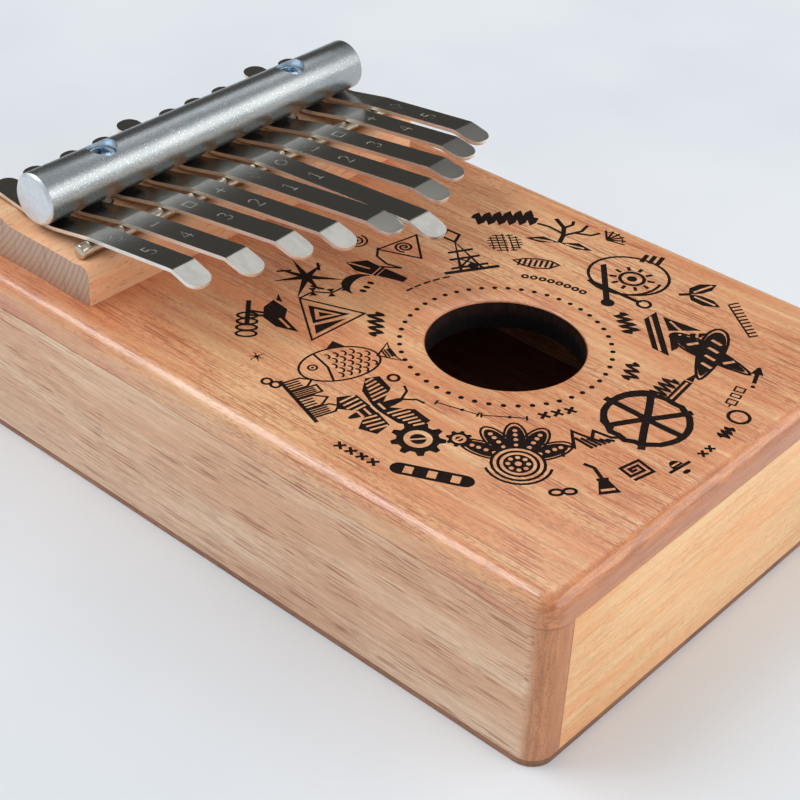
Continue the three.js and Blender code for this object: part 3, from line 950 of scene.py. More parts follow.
def draw_fish(pen):
    """A long round fish, facing left, with an arc of scales and a barred tail."""
    pen.line(oval(0, 0, 1.25, 0.86, 28)[:15] + oval(0, 0, 1.25, 0.78, 28)[15:], 0.055, True)
    pen.line([(1.2, 0), (1.75, 0.5), (1.62, 0), (1.75, -0.5)], 0.055, True)
    for i in range(4):
        x = 1.42 + 0.09 * i
        pen.line([(x, -0.22), (x, 0.22)], 0.05)
    pen.ring(-0.8, 0.14, 0.13, 0.05)
    pen.disc(-0.8, 0.14, 0.05)
    pen.line([(-0.5, 0.76), (-0.38, 0), (-0.5, -0.7)], 0.06)
    bow = [(0.11 * math.cos(a), 0.12 * math.sin(a)) for a in (-1.5, -0.8, 0, 0.8, 1.5)]
    for row, y in enumerate((0.5, 0.24, -0.02, -0.28, -0.5)):
        for i in range(5):
            x = -0.22 + 0.26 * i + 0.12 * (row % 2)
            if x * x / 1.5 + y * y / 0.66 < 0.72:
                pen.line([(x + step, y + rise) for step, rise in bow], 0.05)
    pen.area([(-0.1, 0.84), (0.3, 1.2), (0.55, 0.76)])


def draw_peppers(pen):
    """Two fat crossed pods with clear stripes."""
    for turn in (0.6, -0.55):
        along = Vector((math.cos(turn), math.sin(turn)))
        across = Vector((-along.y, along.x))
        pod = [along * x * 1.2 + across * y * (0.3 + 0.12 * x) for x, y in oval(0, 0, 1, 1)]
        pen.line([p * 1.14 for p in pod], 0.07, True)
        pen.area(pod)
        for i in range(4):
            spot = along * (-0.7 + 0.42 * i)
            pen.clear([spot - across * 0.2, spot + across * 0.12 + along * 0.16], 0.08)


def draw_star(pen, arms):
    """A spiky brushed star with tapering, slightly bent arms."""
    for i in range(arms):
        angle = 2 * math.pi * i / arms + 0.2 * math.sin(5 * i)
        reach = 1.0 + 0.22 * math.sin(3 * i + 1)
        tip = Vector((math.cos(angle + 0.12), math.sin(angle + 0.12))) * reach
        across = Vector((-math.sin(angle), math.cos(angle))) * 0.12
        pen.area([across, tip, -across])
        if i % 2:
            pen.line([tip * 0.6 - across, tip * 0.95 + across * 1.2], 0.07)
    pen.disc(0, 0, 0.2)


def draw_moon(pen):
    turns = [math.pi * (1.02 + 0.08 * k) for k in range(13)]
    outer = [(math.cos(a), math.sin(a)) for a in turns]
    pen.area(outer + [(0.95 * x, 0.52 * y + 0.08) for x, y in reversed(outer)])
    for x in (-0.35, 0.1, 0.5):
        pen.disc(x, 0.35, 0.13, tall=1.5)


def draw_fan(pen):
    def reach(degrees, length):
        angle = math.radians(degrees)
        return length * math.sin(angle), length * math.cos(angle) - 0.6

    for i in range(6):
        pen.line([(0, -0.6), reach(-58 + 23 * i, 1.5)], 0.14)
    pen.line([reach(degrees, 1.25) for degrees in range(-62, 63, 14)], 0.08)


def draw_hatched_disc(pen, radius):
    for i in range(-3, 4):
        y = radius * 0.27 * i
        half = math.sqrt(radius * radius - y * y)
        pen.line([(-half, y), (-half * 0.3, y + 0.12)], 0.3)
        pen.line([(-half * 0.15, y), (half, y - 0.1)], 0.3)
    for i in range(-2, 3):
        x = radius * 0.36 * i
        half = math.sqrt(radius * radius - x * x)
        pen.line([(x, -half), (x, half)], 0.22)


def draw_hoop(pen):
    """A big open hoop with a sun inside, crossed by two brushed sticks."""
    pen.line(oval(0, 0, 1, 0.9, 34), 0.06, True)
    pen.line(oval(0.12, 0, 0.94, 0.92, 34)[3:17], 0.06)
    pen.ring(-0.1, 0.12, 0.3, 0.07)
    pen.disc(-0.1, 0.12, 0.13)
    for x, y in oval(0, 0, 1, 1, 10):
        pen.line([(x * r - 0.1, y * r + 0.12) for r in (0.38, 0.56)], 0.07)
    pen.trace("sticks")
    pen.ring(-0.55, 1.2, 0.16, 0.06)
    for x in (-0.7, -0.5, -0.3):
        pen.line([(x, -1.15), (x + 0.1, -0.75)], 0.09)


def draw_comb(pen, length, height, teeth):
    pen.line([(-length / 2, 0), (length / 2, height * 0.2)], 0.3)
    for i in range(teeth):
        x = length * (i / (teeth - 1) - 0.5)
        pen.line([(x, height * 0.1), (x + 0.35, -height * 0.8)], 0.36)


def draw_pencil(pen):
    pen.trace("pencil")
    pen.line([(x * 0.5 - 0.4, y + 0.55) for x, y in wave(2.6, 0.6, 4)], 0.11)


def draw_cap(pen):
    pen.area(oval(0, 0, 0.6, 0.8, 20)[:11])
    pen.trace("cap_brim")


def draw_crosses(pen, count, size, width):
    for i in range(count):
        x = (i - (count - 1) / 2) * size * 1.5
        pen.line([(x - size / 2, -size / 2), (x + size / 2, size / 2)], width)
        pen.line([(x - size / 2, size / 2), (x + size / 2, -size / 2)], width)


def draw_ovals(pen, count, size, width, tall):
    for i in range(count):
        pen.ring((i - (count - 1) / 2) * size * 2.1, 0, size, width, tall)


def draw_checked_bar(pen, length, height):
    """A solid bar with round ends and three clear windows."""
    bar = []
    for side in (1, -1):
        for k in range(7):
            angle = math.pi * (k / 6 - 0.5)
            bar.append((side * (length / 2 - height / 2 + height / 2 * math.cos(angle)),
                        side * height / 2 * math.sin(angle)))
    pen.area(bar)
    half, tall = length * 0.055, height * 0.3
    for x in (-length * 0.28, 0.0, length * 0.28):
        window = [(x - half, -tall), (x + half, -tall), (x + half, tall), (x - half, tall)]
        pen.area(window, burned=False)


def draw_span(pen, length):
    """A thin measuring line with a tick at each end and a dot in the middle."""
    pen.line([(-length / 2, 0), (length / 2, 0)], 0.22)
    for x in (-length / 2, length / 2):
        pen.line([(x, -0.7), (x, 0.7)], 0.3)
    pen.disc(length * 0.12, 0, 0.4)


def draw_spiral_triangle(pen):
    pen.line([(-1, -0.6), (1, -0.6), (0, 0.95)], 0.09, True)
    pen.line(spiral(2.2, 0.42, 0, -0.12), 0.08)
    pen.line([(0.9, -0.7), (1.35, -0.2), (1.4, 0.5), (1.1, 1.1)], 0.08)
    pen.line([(1.1, 1.1), (1.75, 0.5)], 0.08)


def draw_spiral(pen):
    pen.line(spiral(2.6, 1), 0.13)


# Each motif's drawing, place round the hole in degrees, distance from its middle, turn in degrees,
# size, and what else it takes. Those of size 1 are given in millimetres.
MOTIFS = (
    (draw_scribble, 39, 47.4, 8, 1, 13.0, 4.8, 6, 1.0),
    (draw_hatched_disc, 39, 37.3, 10, 1, 3.6),
    ("tree", 23, 43.2, 180, 6.2),
    (draw_fan, 11, 47.0, 150, 2.6),
    ("hatched_leaf", 27, 30.6, 8, 4.0),
    (draw_hoop, -3, 36.4, 30, 8.0),
    ("leaf_pair", -22, 44.0, 150, 4.0),
    (draw_comb, -35, 46.4, -4, 1, 11.5, 2.2, 11),
    (draw_scribble, -28, 24.8, -6, 1, 7.2, 3.0, 4, 0.65),
    ("sail", -38, 31.6, 172, 6.6),
    (draw_peppers, -50, 37.8, 12, 6.6),
    ("arrow", -58, 46.0, -100, 2.8),
    (draw_scribble, -67, 23.8, 6, 1, 5.8, 2.6, 3, 0.6),
    (draw_pencil, -70, 33.6, -14, 4.8),
    ("chain", -68, 43.0, -8, 2.1),
    (draw_ovals, -76, 45.2, 0, 1, 1, 1.9, 0.5, 1.0),
    (draw_wheel, -92, 32.6, 8, 7.6),
    (draw_scribble, -83, 45.2, 0, 1, 3.6, 2.0, 3, 0.55),
    (draw_crosses, -92, 45.4, 0, 1, 2, 1.4, 0.42),
    (draw_cap, -101, 45.2, 6, 2.2),
    ("square_spiral", -110, 42.6, 8, 2.2),
    ("flask", -119, 43.0, -6, 3.6),
    ("hills", -115, 32.6, 6, 4.6),
    (draw_crosses, -118, 22.9, 0, 1, 3, 1.7, 0.5),
    (draw_ovals, -129, 44.6, 0, 1, 2, 1.1, 0.45, 0.7),
    (draw_flower, -138, 35.8, 0, 8.8),
    (draw_gear, -167, 34.8, 10, 4.9, 9),
    (draw_gear, -156, 31.6, 30, 2.4, 8),
    (draw_checked_bar, -158, 43.0, 4, 1, 14.8, 3.2),
    (draw_span, -163, 23.2, 0, 1, 8.0),
    (draw_span, -142, 23.2, 0, 1, 8.0),
    (draw_moth, 174, 32.4, -8, 7.6),
    (draw_crosses, -176, 44.6, 0, 1, 4, 1.6, 0.44),
    (draw_houses, 160, 43.0, 2, 4.1),
    (draw_ovals, 151, 45.4, 40, 1, 2, 0.9, 0.42, 1.0),
    (draw_ovals, 162, 24.2, 0, 1, 1, 1.0, 0.46, 1.0),
    (draw_fish, 147, 31.8, 100, 6.3),
    (draw_star, 140, 46.4, 0, 1.8, 6),
    (draw_ovals, 127, 48.6, 6, 1, 4, 1.0, 0.44, 1.9),
    ("bird", 121, 44.2, 10, 5.2),
    ("kite", 119, 34.0, 20, 7.0),
    (draw_scribble, 119, 24.8, 14, 1, 8.2, 2.8, 4, 0.65),
    (draw_star, 102, 43.6, 12, 6.8, 7),
    (draw_moon, 96, 33.4, 10, 3.9),
    ("brush", 86, 34.6, -74, 5.0),
    (draw_spiral, 80, 46.0, 0, 2.6),
    (draw_spiral_triangle, 70, 38.4, 10, 5.0),
    ("mast", 54, 33.4, 184, 6.4),
)
RING_DOTS = 48


def ring_drawing():
    """Every mark of the drawing, in the order it is laid on."""
    marks = []
    for i in range(RING_DOTS):
        Pen(marks, 360 * i / RING_DOTS, 19.8).disc(0, 0, 0.52)
    for angle in (66, 71, 76, 81, 86):
        Pen(marks, angle, 25.4).line([(-0.8, 0), (0.8, 0)], 0.4)
    for angle in range(2, 34, 4):
        Pen(marks, angle, 25.0).ring(0, 0, 0.55, 0.38)
    for draw, angle, radius, turn, size, *more in MOTIFS:
        pen = Pen(marks, angle, radius, turn, size)
        if isinstance(draw, str):
            pen.trace(draw)
        else:
            draw(pen, *more)
    return marks


# ---- The box -------------------------------------------------------------------------------------

def box_outline(inset):
    """The box's outline from above, moved inward all round."""
    width, length = BODY_WIDTH - 2 * inset, BODY_LENGTH - 2 * inset
    return rounded_outline(width, length, CORNER_RADIUS - inset)


def make_lid():
    """The lid: a routed round edge, the sound hole, the two screw holes and the burned drawing."""
    bm = bmesh.new()
    steps = 8
    loops = []
    for i in range(steps + 1):
        angle = math.pi / 2 * i / steps
        inset = LID_EDGE_RADIUS * (1 - math.sin(angle))
        height = BODY_HEIGHT - LID_EDGE_RADIUS * (1 - math.cos(angle))
        loops.append(at_height(box_outline(inset), height))
    inner = box_outline(LID_EASE)
    loops.append(at_height(box_outline(0), LID_UNDERSIDE + LID_EASE))
    loops.append(at_height(inner, LID_UNDERSIDE))
    for upper, lower in zip(loops, loops[1:]):
        ring_wall(bm, lower, upper)

    mouth = []
    for share in range(4):
        angle = math.pi / 6 * share
        radius = HOLE_RADIUS + HOLE_EASE * (1 - math.sin(angle))
        height = BODY_HEIGHT - HOLE_EASE * (1 - math.cos(angle))
        mouth.append(at_height(circle(radius, HOLE_SIDES, (0, HOLE_Y)), height))
    throat = circle(HOLE_RADIUS, HOLE_SIDES, (0, HOLE_Y))
    screws = [circle(SCREW_CLEARANCE_RADIUS, 24, (side * SCREW_X, BAR_Y)) for side in (-1, 1)]
    top, opening = [p.to_2d() for p in loops[0]], [p.to_2d() for p in mouth[0]]
    flat_face(bm, top, [opening, *screws], BODY_HEIGHT, ring_drawing(), BURN_DEPTH)
    flat_face(bm, inner, [throat, *screws], LID_UNDERSIDE, upward=False)
    for upper, lower in zip(mouth, mouth[1:]):
        ring_wall(bm, upper, lower)
    for face in ring_wall(bm, mouth[-1], at_height(throat, LID_UNDERSIDE)):
        face.material_index = 2
    for screw in screws:
        ring_wall(bm, at_height(screw, BODY_HEIGHT), at_height(screw, LID_UNDERSIDE))
    weld(bm)
    looks = [MAHOGANY_LID, BURNED, SCORCHED]
    piece("soundboard_wood", bm, "box", looks, ["soundboard"])


def make_side(name, side):
    """A side board, whose two outer upright corners are rounded."""
    edge = BODY_WIDTH / 2 - CORNER_RADIUS - 0.01
    outer = sorted((p for p in box_outline(0) if p.x * side > edge), key=lambda p: p.y)
    inner_x = side * (BODY_WIDTH / 2 - WALL_THICKNESS)
    outline = outer + [Vector((inner_x, BODY_LENGTH / 2)), Vector((inner_x, -BODY_LENGTH / 2))]
    bm = bmesh.new()
    prism(bm, anticlockwise(outline), WALL_BASE, WALL_TOP)
    ease_edges(bm, BOARD_EASE)
    piece(name + "_board", bm, "box", [MAHOGANY_SIDE], [name])


def make_panel(name, side):
    """An end panel let in between the two side boards."""
    width = BODY_WIDTH - 2 * WALL_THICKNESS - 2 * GLUE_LINE
    centre = (0, side * (BODY_LENGTH - WALL_THICKNESS) / 2)
    bm = bmesh.new()
    prism(bm, rounded_outline(width, WALL_THICKNESS, 0.02, 1, centre), WALL_BASE, WALL_TOP)
    weld(bm, 0.05)
    ease_edges(bm, PANEL_EASE)
    piece(name + "_board", bm, "box", [PALE_PANEL], [name])


def make_back():
    bm = bmesh.new()
    prism(bm, box_outline(0), 0, BACK_THICKNESS)
    ease_edges(bm, BACK_EASE, 3)
    piece("back_plate_ply", bm, "box", [DARK_BACK], ["back_plate"])


make_lid()
make_side("left_side", -1)
make_side("right_side", 1)
make_panel("front_panel", -1)
make_panel("rear_panel", 1)
make_back()
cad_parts["bridge_brace"].data.materials.clear()
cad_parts["bridge_brace"].data.materials.append(BRACE_WOOD)


# ---- The bridge ----------------------------------------------------------------------------------

def ease_between(start, end, steps=10):
    """Points of an S-shaped step from start to end, level at both."""
    points = []
    for i in range(1, steps + 1):
        share = i / steps
        rise = share * share * (3 - 2 * share)
        y = start[0] + (end[0] - start[0]) * share
        points.append(Vector((y, start[1] + (end[1] - start[1]) * rise)))
    return points


def block_section():
    """The block's section in (Y, Z): its rear, ridge, table, rod groove and rounded nose."""
    rod = ROD_Y - BLOCK_FRONT_Y
    ridge = BLOCK_DEPTH - RIDGE_FROM_REAR
    points = [Vector((0, 0)), Vector((BLOCK_DEPTH, 0)), Vector((BLOCK_DEPTH, RIDGE_HEIGHT))]
    points.append(Vector((ridge, RIDGE_HEIGHT)))
    points += ease_between((ridge, RIDGE_HEIGHT), (ridge - RIDGE_RAMP, TABLE_HEIGHT))
    points.append(Vector((rod + GROOVE_RAMP, TABLE_HEIGHT)))
    points += ease_between((rod + GROOVE_RAMP, TABLE_HEIGHT), (rod, GROOVE_HEIGHT))
    points += ease_between((rod, GROOVE_HEIGHT), (rod - GROOVE_RAMP, NOSE_HEIGHT))
    for i in range(9):
        angle = math.pi / 2 * (1 + i / 8)
        height = NOSE_HEIGHT - NOSE_RADIUS * (1 - math.sin(angle))
        points.append(Vector((NOSE_RADIUS * (1 + math.cos(angle)), height)))
    return points


def make_block():
    bm = bmesh.new()
    prism(bm, block_section(), -BLOCK_WIDTH / 2, BLOCK_WIDTH / 2)
    ease_edges(bm, BLOCK_EASE, 3, 60)
    # The section's x becomes Y, its y becomes Z, and the sweep runs along X
    turn = Matrix(((0, 0, 1, 0), (1, 0, 0, BLOCK_FRONT_Y), (0, 1, 0, BLOCK_BASE), (0, 0, 0, 1)))
    bmesh.ops.transform(bm, matrix=turn, verts=bm.verts)
    holes = [upright_post(SCREW_CLEARANCE_RADIUS, 30, 50, side * SCREW_X, BAR_Y) for side in (-1, 1)]
    piece("bridge_block_beech", cut(bm, holes), "box", [BEECH], ["bridge_block"])


def bar_profile(radius, length, chamfer, soft):
    """(radius, height) points of a round bar with chamfered ends whose corners are eased."""
    end = length / 2
    half = [(radius - chamfer - soft, end), (radius - chamfer, end - soft * 0.4)]
    half += [(radius - soft * 0.3, end - chamfer), (radius, end - chamfer - soft)]
    lower = [(r, -h) for r, h in half]
    return [(0, -end), *lower, *reversed(half), (0, end)]


def make_bar():
    """The pressure bar, with a bore and a counterbored pocket for each screw."""
    turned = lathe(bar_profile(BAR_RADIUS, BAR_LENGTH, BAR_CHAMFER, 0.12), 96)
    bmesh.ops.transform(turned, matrix=Matrix.Rotation(math.pi / 2, 4, "Y"), verts=turned.verts)
    tools = []
    for x in (-SCREW_X, SCREW_X):
        tools.append(upright_post(SCREW_CLEARANCE_RADIUS, -8, 8, x, 0, 48))
        tools.append(upright_post(COUNTERBORE_RADIUS, COUNTERBORE_FLOOR, 8, x, 0, 64))
    bm = cut(turned, tools)
    for face in bm.faces:
        centre = face.calc_center_median()
        off_axis = math.hypot(centre.y, centre.z)
        if abs(centre.x) > BAR_LENGTH / 2 - BAR_CHAMFER or off_axis < BAR_RADIUS * 0.985:
            face.material_index = 1
    place = Matrix.Translation((0, BAR_Y * MM, BAR_Z * MM))
    looks = [BAR_METAL, BAR_FACE]
    piece("pressure_bar_metal", bm, "box", looks, ["pressure_bar"], 40, place)


def cross_tool(base, top):
    """A cross-shaped prism for a screw's recess, narrower at its foot."""
    arm, half = RECESS_SPAN / 2, RECESS_WIDTH / 2
    outline = [(arm, half), (half, half), (half, arm), (-half, arm), (-half, half), (-arm, half),
               (-arm, -half), (-half, -half), (-half, -arm), (half, -arm), (half, -half), (arm, -half)]
    bm = bmesh.new()
    prism(bm, [Vector(p) for p in outline], base, top)
    foot = [v for v in bm.verts if v.co.z < (base + top) / 2]
    bmesh.ops.scale(bm, vec=(RECESS_TAPER, RECESS_TAPER, 1), verts=foot)
    return bm


def make_screw(name, x, turned):
    """A cross-head wood screw with a domed, eased head and a tapering point."""
    rim = SCREW_HEAD_HEIGHT * 0.5
    profile = [(0, -SCREW_LENGTH), (SCREW_RADIUS, 2 * SCREW_RADIUS - SCREW_LENGTH), (SCREW_RADIUS, 0)]
    profile += [(SCREW_HEAD_RADIUS - SCREW_HEAD_EASE, 0), (SCREW_HEAD_RADIUS, SCREW_HEAD_EASE)]
    profile.append((SCREW_HEAD_RADIUS, rim))
    for i in range(1, 9):
        angle = math.pi / 2 * i / 8
        profile.append((SCREW_HEAD_RADIUS * math.cos(angle * 0.98),
                        rim + (SCREW_HEAD_HEIGHT - rim) * math.sin(angle)))
    profile.append((0, SCREW_HEAD_HEIGHT))
    tool = cross_tool(SCREW_HEAD_HEIGHT - RECESS_DEPTH, SCREW_HEAD_HEIGHT + 0.6)
    bmesh.ops.transform(tool, matrix=Matrix.Rotation(turned, 4, "Z"), verts=tool.verts)
    bm = cut(lathe(profile, 48), [tool])
    place = Matrix.Translation((x * MM, BAR_Y * MM, SCREW_SEAT_Z * MM))
    piece(name + "_zinc", bm, "box", [ZINC], [name], 34, place)


def make_rod():
    bm = lathe(bar_profile(ROD_RADIUS, ROD_LENGTH, ROD_CHAMFER, 0.06), 48)
    lying = Matrix.Rotation(math.pi / 2, 4, "Y")
    place = Matrix.Translation((0, ROD_Y * MM, ROD_Z * MM)) @ lying
    piece("front_rod_steel", bm, "box", [ROD_STEEL], ["front_rod"], 40, place)


make_block()
make_bar()
make_screw("bar_screw_left", -SCREW_X, LEFT_SCREW_TURN)
make_screw("bar_screw_right", SCREW_X, RIGHT_SCREW_TURN)
make_rod()


# ---- The tines -----------------------------------------------------------------------------------

class TineLine:
    """A tine's middle line from tail to tip, as straight runs and arcs one after another."""

    def __init__(self, reach, tail, drop):
        front = math.atan2(BEND_RISE, reach)
        self.parts = []
        self.length = 0.0
        self.y, self.z, self.rise = 0.0, 0.0, -TAIL_SLOPE
        self.run(tail)
        self.turn(TAIL_SLOPE, REAR_BEND_RADIUS)
        self.turn(REAR_SLOPE, REAR_BEND_RADIUS)
        self.run(REAR_RUN)
        self.turn(front - REAR_SLOPE, TINE_CONTACT_RADIUS)
        axis = (self.y - TINE_CONTACT_RADIUS * math.sin(front),
                self.z - TINE_CONTACT_RADIUS * math.cos(front))
        self.contact = self.length
        self.run(reach - TIP_BEND_SHIFT)
        self.turn(-front - drop, TIP_BEND_RADIUS)
        self.run(TIP_RAMP)
        self.turn(TIP_LIFT, TIP_LIFT_RADIUS)
        self.parts = [(s, n, y - axis[0], z - axis[1], rise, bend)
                      for s, n, y, z, rise, bend in self.parts]

    def run(self, distance):
        self.add(distance, 0.0)

    def turn(self, angle, radius):
        self.add(abs(angle) * radius, math.copysign(1 / radius, angle))

    def add(self, distance, bend):
        part = (self.length, distance, self.y, self.z, self.rise, bend)
        self.parts.append(part)
        self.y, self.z, self.rise = self.along(part, distance)
        self.length += distance

    @staticmethod
    def along(part, distance):
        _, _, y, z, rise, bend = part
        if not bend:
            return y - math.cos(rise) * distance, z + math.sin(rise) * distance, rise
        end = rise + bend * distance
        step_y = (math.sin(end) - math.sin(rise)) / bend
        step_z = (math.cos(rise) - math.cos(end)) / bend
        return y - step_y, z + step_z, end

    def place(self, x, distance, height):
        """A point beside the middle line, from the rod's axis."""
        part = max((p for p in self.parts if p[0] <= distance + 1e-9), default=self.parts[0])
        y, z, rise = self.along(part, distance - part[0])
        return Vector((x, y + height * math.sin(rise), z + height * math.cos(rise)))

    def stations(self):
        """Distances where the strip needs an edge across it to bend smoothly."""
        found = []
        for start, distance, *_, bend in self.parts:
            steps = max(2, math.ceil(distance / 0.35)) if bend else max(1, round(distance / 5))
            found += [start + distance * i / steps for i in range(steps)]
        return [s for s in found if 0.05 < s < self.length - 0.05]


# Strokes of the stamps, within one unit each way of their middle
DIGITS = {
    1: [[(-0.5, 0.55), (0.1, 1.0), (0.1, -1.0)], [(-0.4, -1.0), (0.6, -1.0)]],
    2: [[(-0.55, 0.6), (-0.3, 0.95), (0.25, 0.95), (0.55, 0.55), (0.4, 0.05), (-0.6, -1.0),
         (0.65, -1.0)]],
    3: [[(-0.5, 0.75), (-0.1, 1.0), (0.4, 0.85), (0.5, 0.4), (0.1, 0.08)],
        [(0.1, 0.08), (0.55, -0.25), (0.5, -0.75), (0.0, -1.0), (-0.55, -0.75)]],
    4: [[(0.3, -1.0), (0.3, 1.0), (-0.65, -0.35), (0.65, -0.35)]],
    5: [[(0.5, 1.0), (-0.4, 1.0), (-0.5, 0.15), (0.15, 0.2), (0.55, -0.2), (0.45, -0.8),
         (-0.05, -1.0), (-0.55, -0.8)]],
}
SIGNS = {
    "triangle": [[(-0.8, -0.75), (0.8, -0.75), (0.0, 0.85)]],
    "square": [[(-0.7, -0.7), (0.7, -0.7), (0.7, 0.7), (-0.7, 0.7)]],
    "diamond": [[(0.0, -0.95), (0.75, 0.0), (0.0, 0.95), (-0.75, 0.0)]],
    "ring": [oval(0, 0, 0.75, 0.75, 20)],
    "cross": [[(-0.75, 0), (0.75, 0)], [(0, -0.75), (0, 0.75)]],
}


def stamped_marks(line, sign, number):
    """The sign and number punched ahead of the rod, upright with the bar at the top."""
    marks = []
    for strokes, ahead, closed in (
        (SIGNS[sign], SIGN_AHEAD, sign != "cross"), (DIGITS[number], DIGIT_AHEAD, False)
    ):
        middle = line.contact + ahead
        for points in strokes:
            spots = [Vector((x * STAMP_HALF * 0.8, middle - y * STAMP_HALF)) for x, y in points]
            marks += [(quad, True) for quad in strip(spots, STAMP_LINE, closed)]
    return marks


def make_tine(index, x, reach, lean, tail, drop, sign, number):
    """A strip with round ends and eased edges, stamped while flat and then bent to its line."""
    line = TineLine(reach, tail, math.radians(drop))
    half = TINE_THICKNESS / 2
    outline = rounded_outline(TINE_WIDTH, line.length, TINE_END_RADIUS, 10, (0, line.length / 2))
    wide = TINE_WIDTH / 2 + 1
    lines = [(Vector((-wide, s)), Vector((wide, s))) for s in line.stations()]
    bm = bmesh.new()
    flat_face(bm, outline, z=half, lines=lines)
    below = {v: bm.verts.new((v.co.x, v.co.y, -half)) for v in list(bm.verts)}
    rim = [e for e in bm.edges if len(e.link_faces) == 1]
    for face in list(bm.faces):
        bm.faces.new([below[v] for v in reversed(face.verts)])
    for edge in rim:
        first, second = edge.verts
        bm.faces.new((first, second, below[second], below[first]))
    bmesh.ops.recalc_face_normals(bm, faces=bm.faces)
    ease_edges(bm, TINE_EDGE_RADIUS, 3, 60)
    # The steep edge faces take the near-white edge steel, a painted highlight
    for face in bm.faces:
        if abs(face.normal.z) < EDGE_STEEPNESS:
            face.material_index = 2
    punch_face(bm, stamped_marks(line, sign, number), half)
    for vertex in bm.verts:
        vertex.co = line.place(*vertex.co)
    leaning = Matrix.Rotation(math.radians(lean), 4, "Z")
    place = Matrix.Translation((x * MM, ROD_Y * MM, ROD_Z * MM)) @ leaning
    body = f"tine_{index}"
    looks = [TINE_STEEL, STAMPED, TINE_EDGE_HIGHLIGHT]
    made = piece(body + "_steel", bm, body, looks, [body], 30, place)
    # Shades the wide flats as flat up to the fine rounding of their edges
    made.modifiers.new("flats", "WEIGHTED_NORMAL").keep_sharp = True


def punch_face(bm, marks, top):
    """Cuts marks into the flat top of a mesh by filling that top afresh with the marks sunk in it."""
    flat = [f for f in bm.faces if f.normal.z > 0.999 and abs(f.calc_center_median().z - top) < 1e-4]
    edges = {e for f in flat for e in f.edges}
    border = [e for e in edges if sum(f in flat for f in e.link_faces) == 1]
    across = [(e.verts[0].co.to_2d(), e.verts[1].co.to_2d()) for e in edges if e not in border]
    across = [pair for pair in across if abs(pair[0].y - pair[1].y) < 1e-3]
    loop = ordered(border)
    bmesh.ops.delete(bm, geom=flat, context="FACES")
    flat_face(bm, loop, z=top, marks=marks, sink=STAMP_DEPTH, lines=across)
    weld(bm)


def ordered(border):
    """The points of a closed border of edges, one after another."""
    follow = {}
    for edge in border:
        for one, other in (edge.verts, reversed(edge.verts)):
            follow.setdefault(one, []).append(other)
    start = border[0].verts[0]
    chain = [start, follow[start][0]]
    while True:
        step = [v for v in follow[chain[-1]] if v is not chain[-2]][0]
        if step is start:
            return [v.co.to_2d() for v in chain]
        chain.append(step)


for number, tine in enumerate(TINES, 1):
    make_tine(number, *tine)


# ---- The table, the light and the camera ----------------------------------------------------------

# The camera was fitted to the photo. Its azimuth is from +Y toward +X.
VIEW_AZIMUTH = math.radians(47.95)
VIEW_ELEVATION = math.radians(34.06)
VIEW_ROLL = math.radians(-1.62)
VIEW_POINT = Vector((-0.2339, -0.2006, 0.2256))
LENS = 83.34
SENSOR = 36.0
LENS_SHIFT = (0.075, -0.05)

# Area lights: azimuth and elevation in degrees, distance, width and height in metres, power, colour
LIGHT_TARGET = Vector((0, 0, 0.03))
LIGHTS = {
    "key": (152, 27, 1.4, 2.2, 0.9, 11.0, (1.0, 0.97, 0.94)),
    "window": (66, 49, 1.4, 0.5, 0.4, 0.72, (0.97, 0.98, 1.0)),
    "left": (-29, 54, 2.4, 1.37, 1.4, 24.0, (0.98, 0.98, 1.0)),
}

# The room is pale but for a dim patch, whose edge fades between these cosines from its middle
ROOM_COLOUR = (0.49, 0.52, 0.545, 1)
DIM_COLOUR = (0.09, 0.085, 0.078, 1)
DIM_WAY = Vector((0.65, 0.66, 0.36))
DIM_FADE = (0.835, 0.87)


def make_table():
    f = Finish("pale_table", roughness=0.55)
    cloud = f.noise(f.coords(), 0.012, 3, 0.5)
    speck = f.noise(f.coords(), 1.2, 2, 0.5)
    f.colour(f.blend(f.span(cloud, 0.3, 0.7), tint(230, 235, 239), tint(237, 240, 243)))
    f.rough(f.span(cloud, 0.3, 0.7, 0.5, 0.62))
    f.bump(speck, 0.01, 0.4)
    bm = bmesh.new()
    bmesh.ops.create_grid(bm, x_segments=8, y_segments=8, size=4)
    table = add_mesh("table_top", bm)
    table.data.materials.append(f.material)
    table.location.z = -0.02 * MM


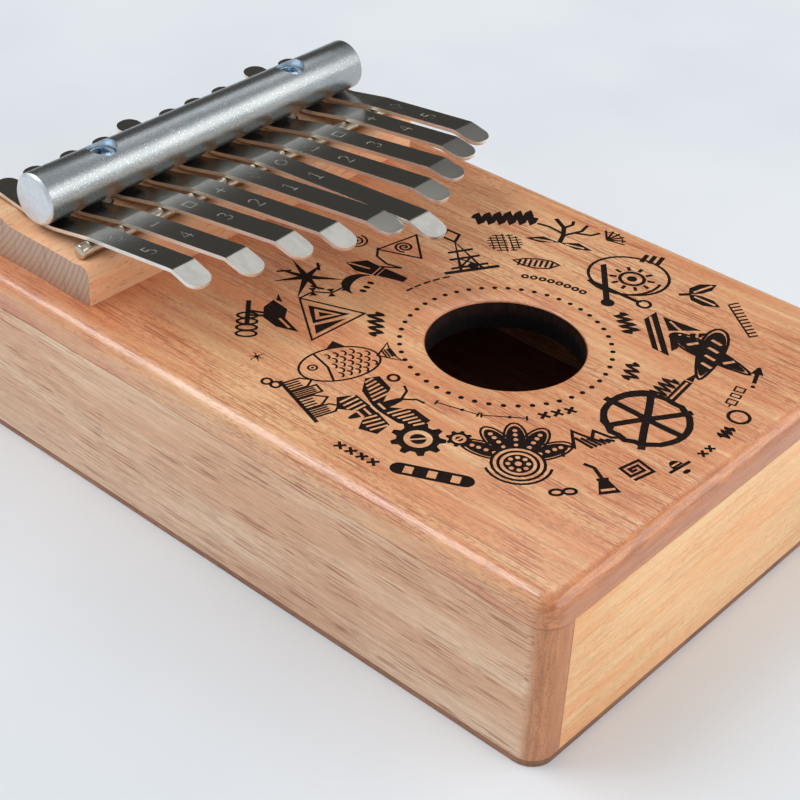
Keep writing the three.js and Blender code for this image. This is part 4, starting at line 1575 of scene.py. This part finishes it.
def make_light(name, azimuth, elevation, distance, width, height, watts, colour):
    """An area light aimed at the instrument. Azimuth is from +Y toward +X."""
    light = bpy.data.lights.new(name, "AREA")
    light.shape = "RECTANGLE"
    light.size = width
    light.size_y = height
    light.energy = watts
    light.color = colour
    lamp = add_object(name, light)
    a, e = math.radians(azimuth), math.radians(elevation)
    away = Vector((math.sin(a) * math.cos(e), math.cos(a) * math.cos(e), math.sin(e)))
    lamp.location = LIGHT_TARGET + away * distance
    lamp.rotation_euler = away.to_track_quat("Z", "Y").to_euler()


def make_room():
    """A pale room that is dim low behind the instrument, where the tines' flats look."""
    world = bpy.data.worlds.new("room")
    world.use_nodes = True
    tree = world.node_tree
    background = tree.nodes["Background"]
    source = tree.nodes.new("ShaderNodeTexCoord")
    toward = tree.nodes.new("ShaderNodeVectorMath")
    toward.operation = "DOT_PRODUCT"
    toward.inputs[1].default_value = DIM_WAY.normalized()
    tree.links.new(source.outputs["Generated"], toward.inputs[0])
    share = tree.nodes.new("ShaderNodeMapRange")
    share.interpolation_type = "SMOOTHSTEP"
    share.inputs["From Min"].default_value, share.inputs["From Max"].default_value = DIM_FADE
    tree.links.new(toward.outputs["Value"], share.inputs["Value"])
    mix = tree.nodes.new("ShaderNodeMix")
    mix.data_type = "RGBA"
    mix.inputs[6].default_value = ROOM_COLOUR
    mix.inputs[7].default_value = DIM_COLOUR
    tree.links.new(share.outputs["Result"], mix.inputs[0])
    tree.links.new(mix.outputs[2], background.inputs["Color"])
    background.inputs["Strength"].default_value = 1.0
    bpy.context.scene.world = world


def make_camera():
    """Looks down over the player's left."""
    camera = bpy.data.cameras.new("camera")
    camera.sensor_width = SENSOR
    camera.lens = LENS
    camera.shift_x, camera.shift_y = LENS_SHIFT
    camera.clip_start = 0.01
    made = add_object("camera", camera)
    tilt = Matrix.Rotation(math.pi / 2 - VIEW_ELEVATION, 4, "X")
    heading = Matrix.Rotation(-VIEW_AZIMUTH, 4, "Z")
    roll = Matrix.Rotation(-VIEW_ROLL, 4, "Z")
    made.matrix_world = Matrix.Translation(VIEW_POINT) @ heading @ tilt @ roll
    bpy.context.scene.camera = made


make_table()
make_room()
for name, light in LIGHTS.items():
    make_light(name, *light)
make_camera()
bpy.context.scene.view_settings.view_transform = "Standard"

bpy.context.view_layer.update()
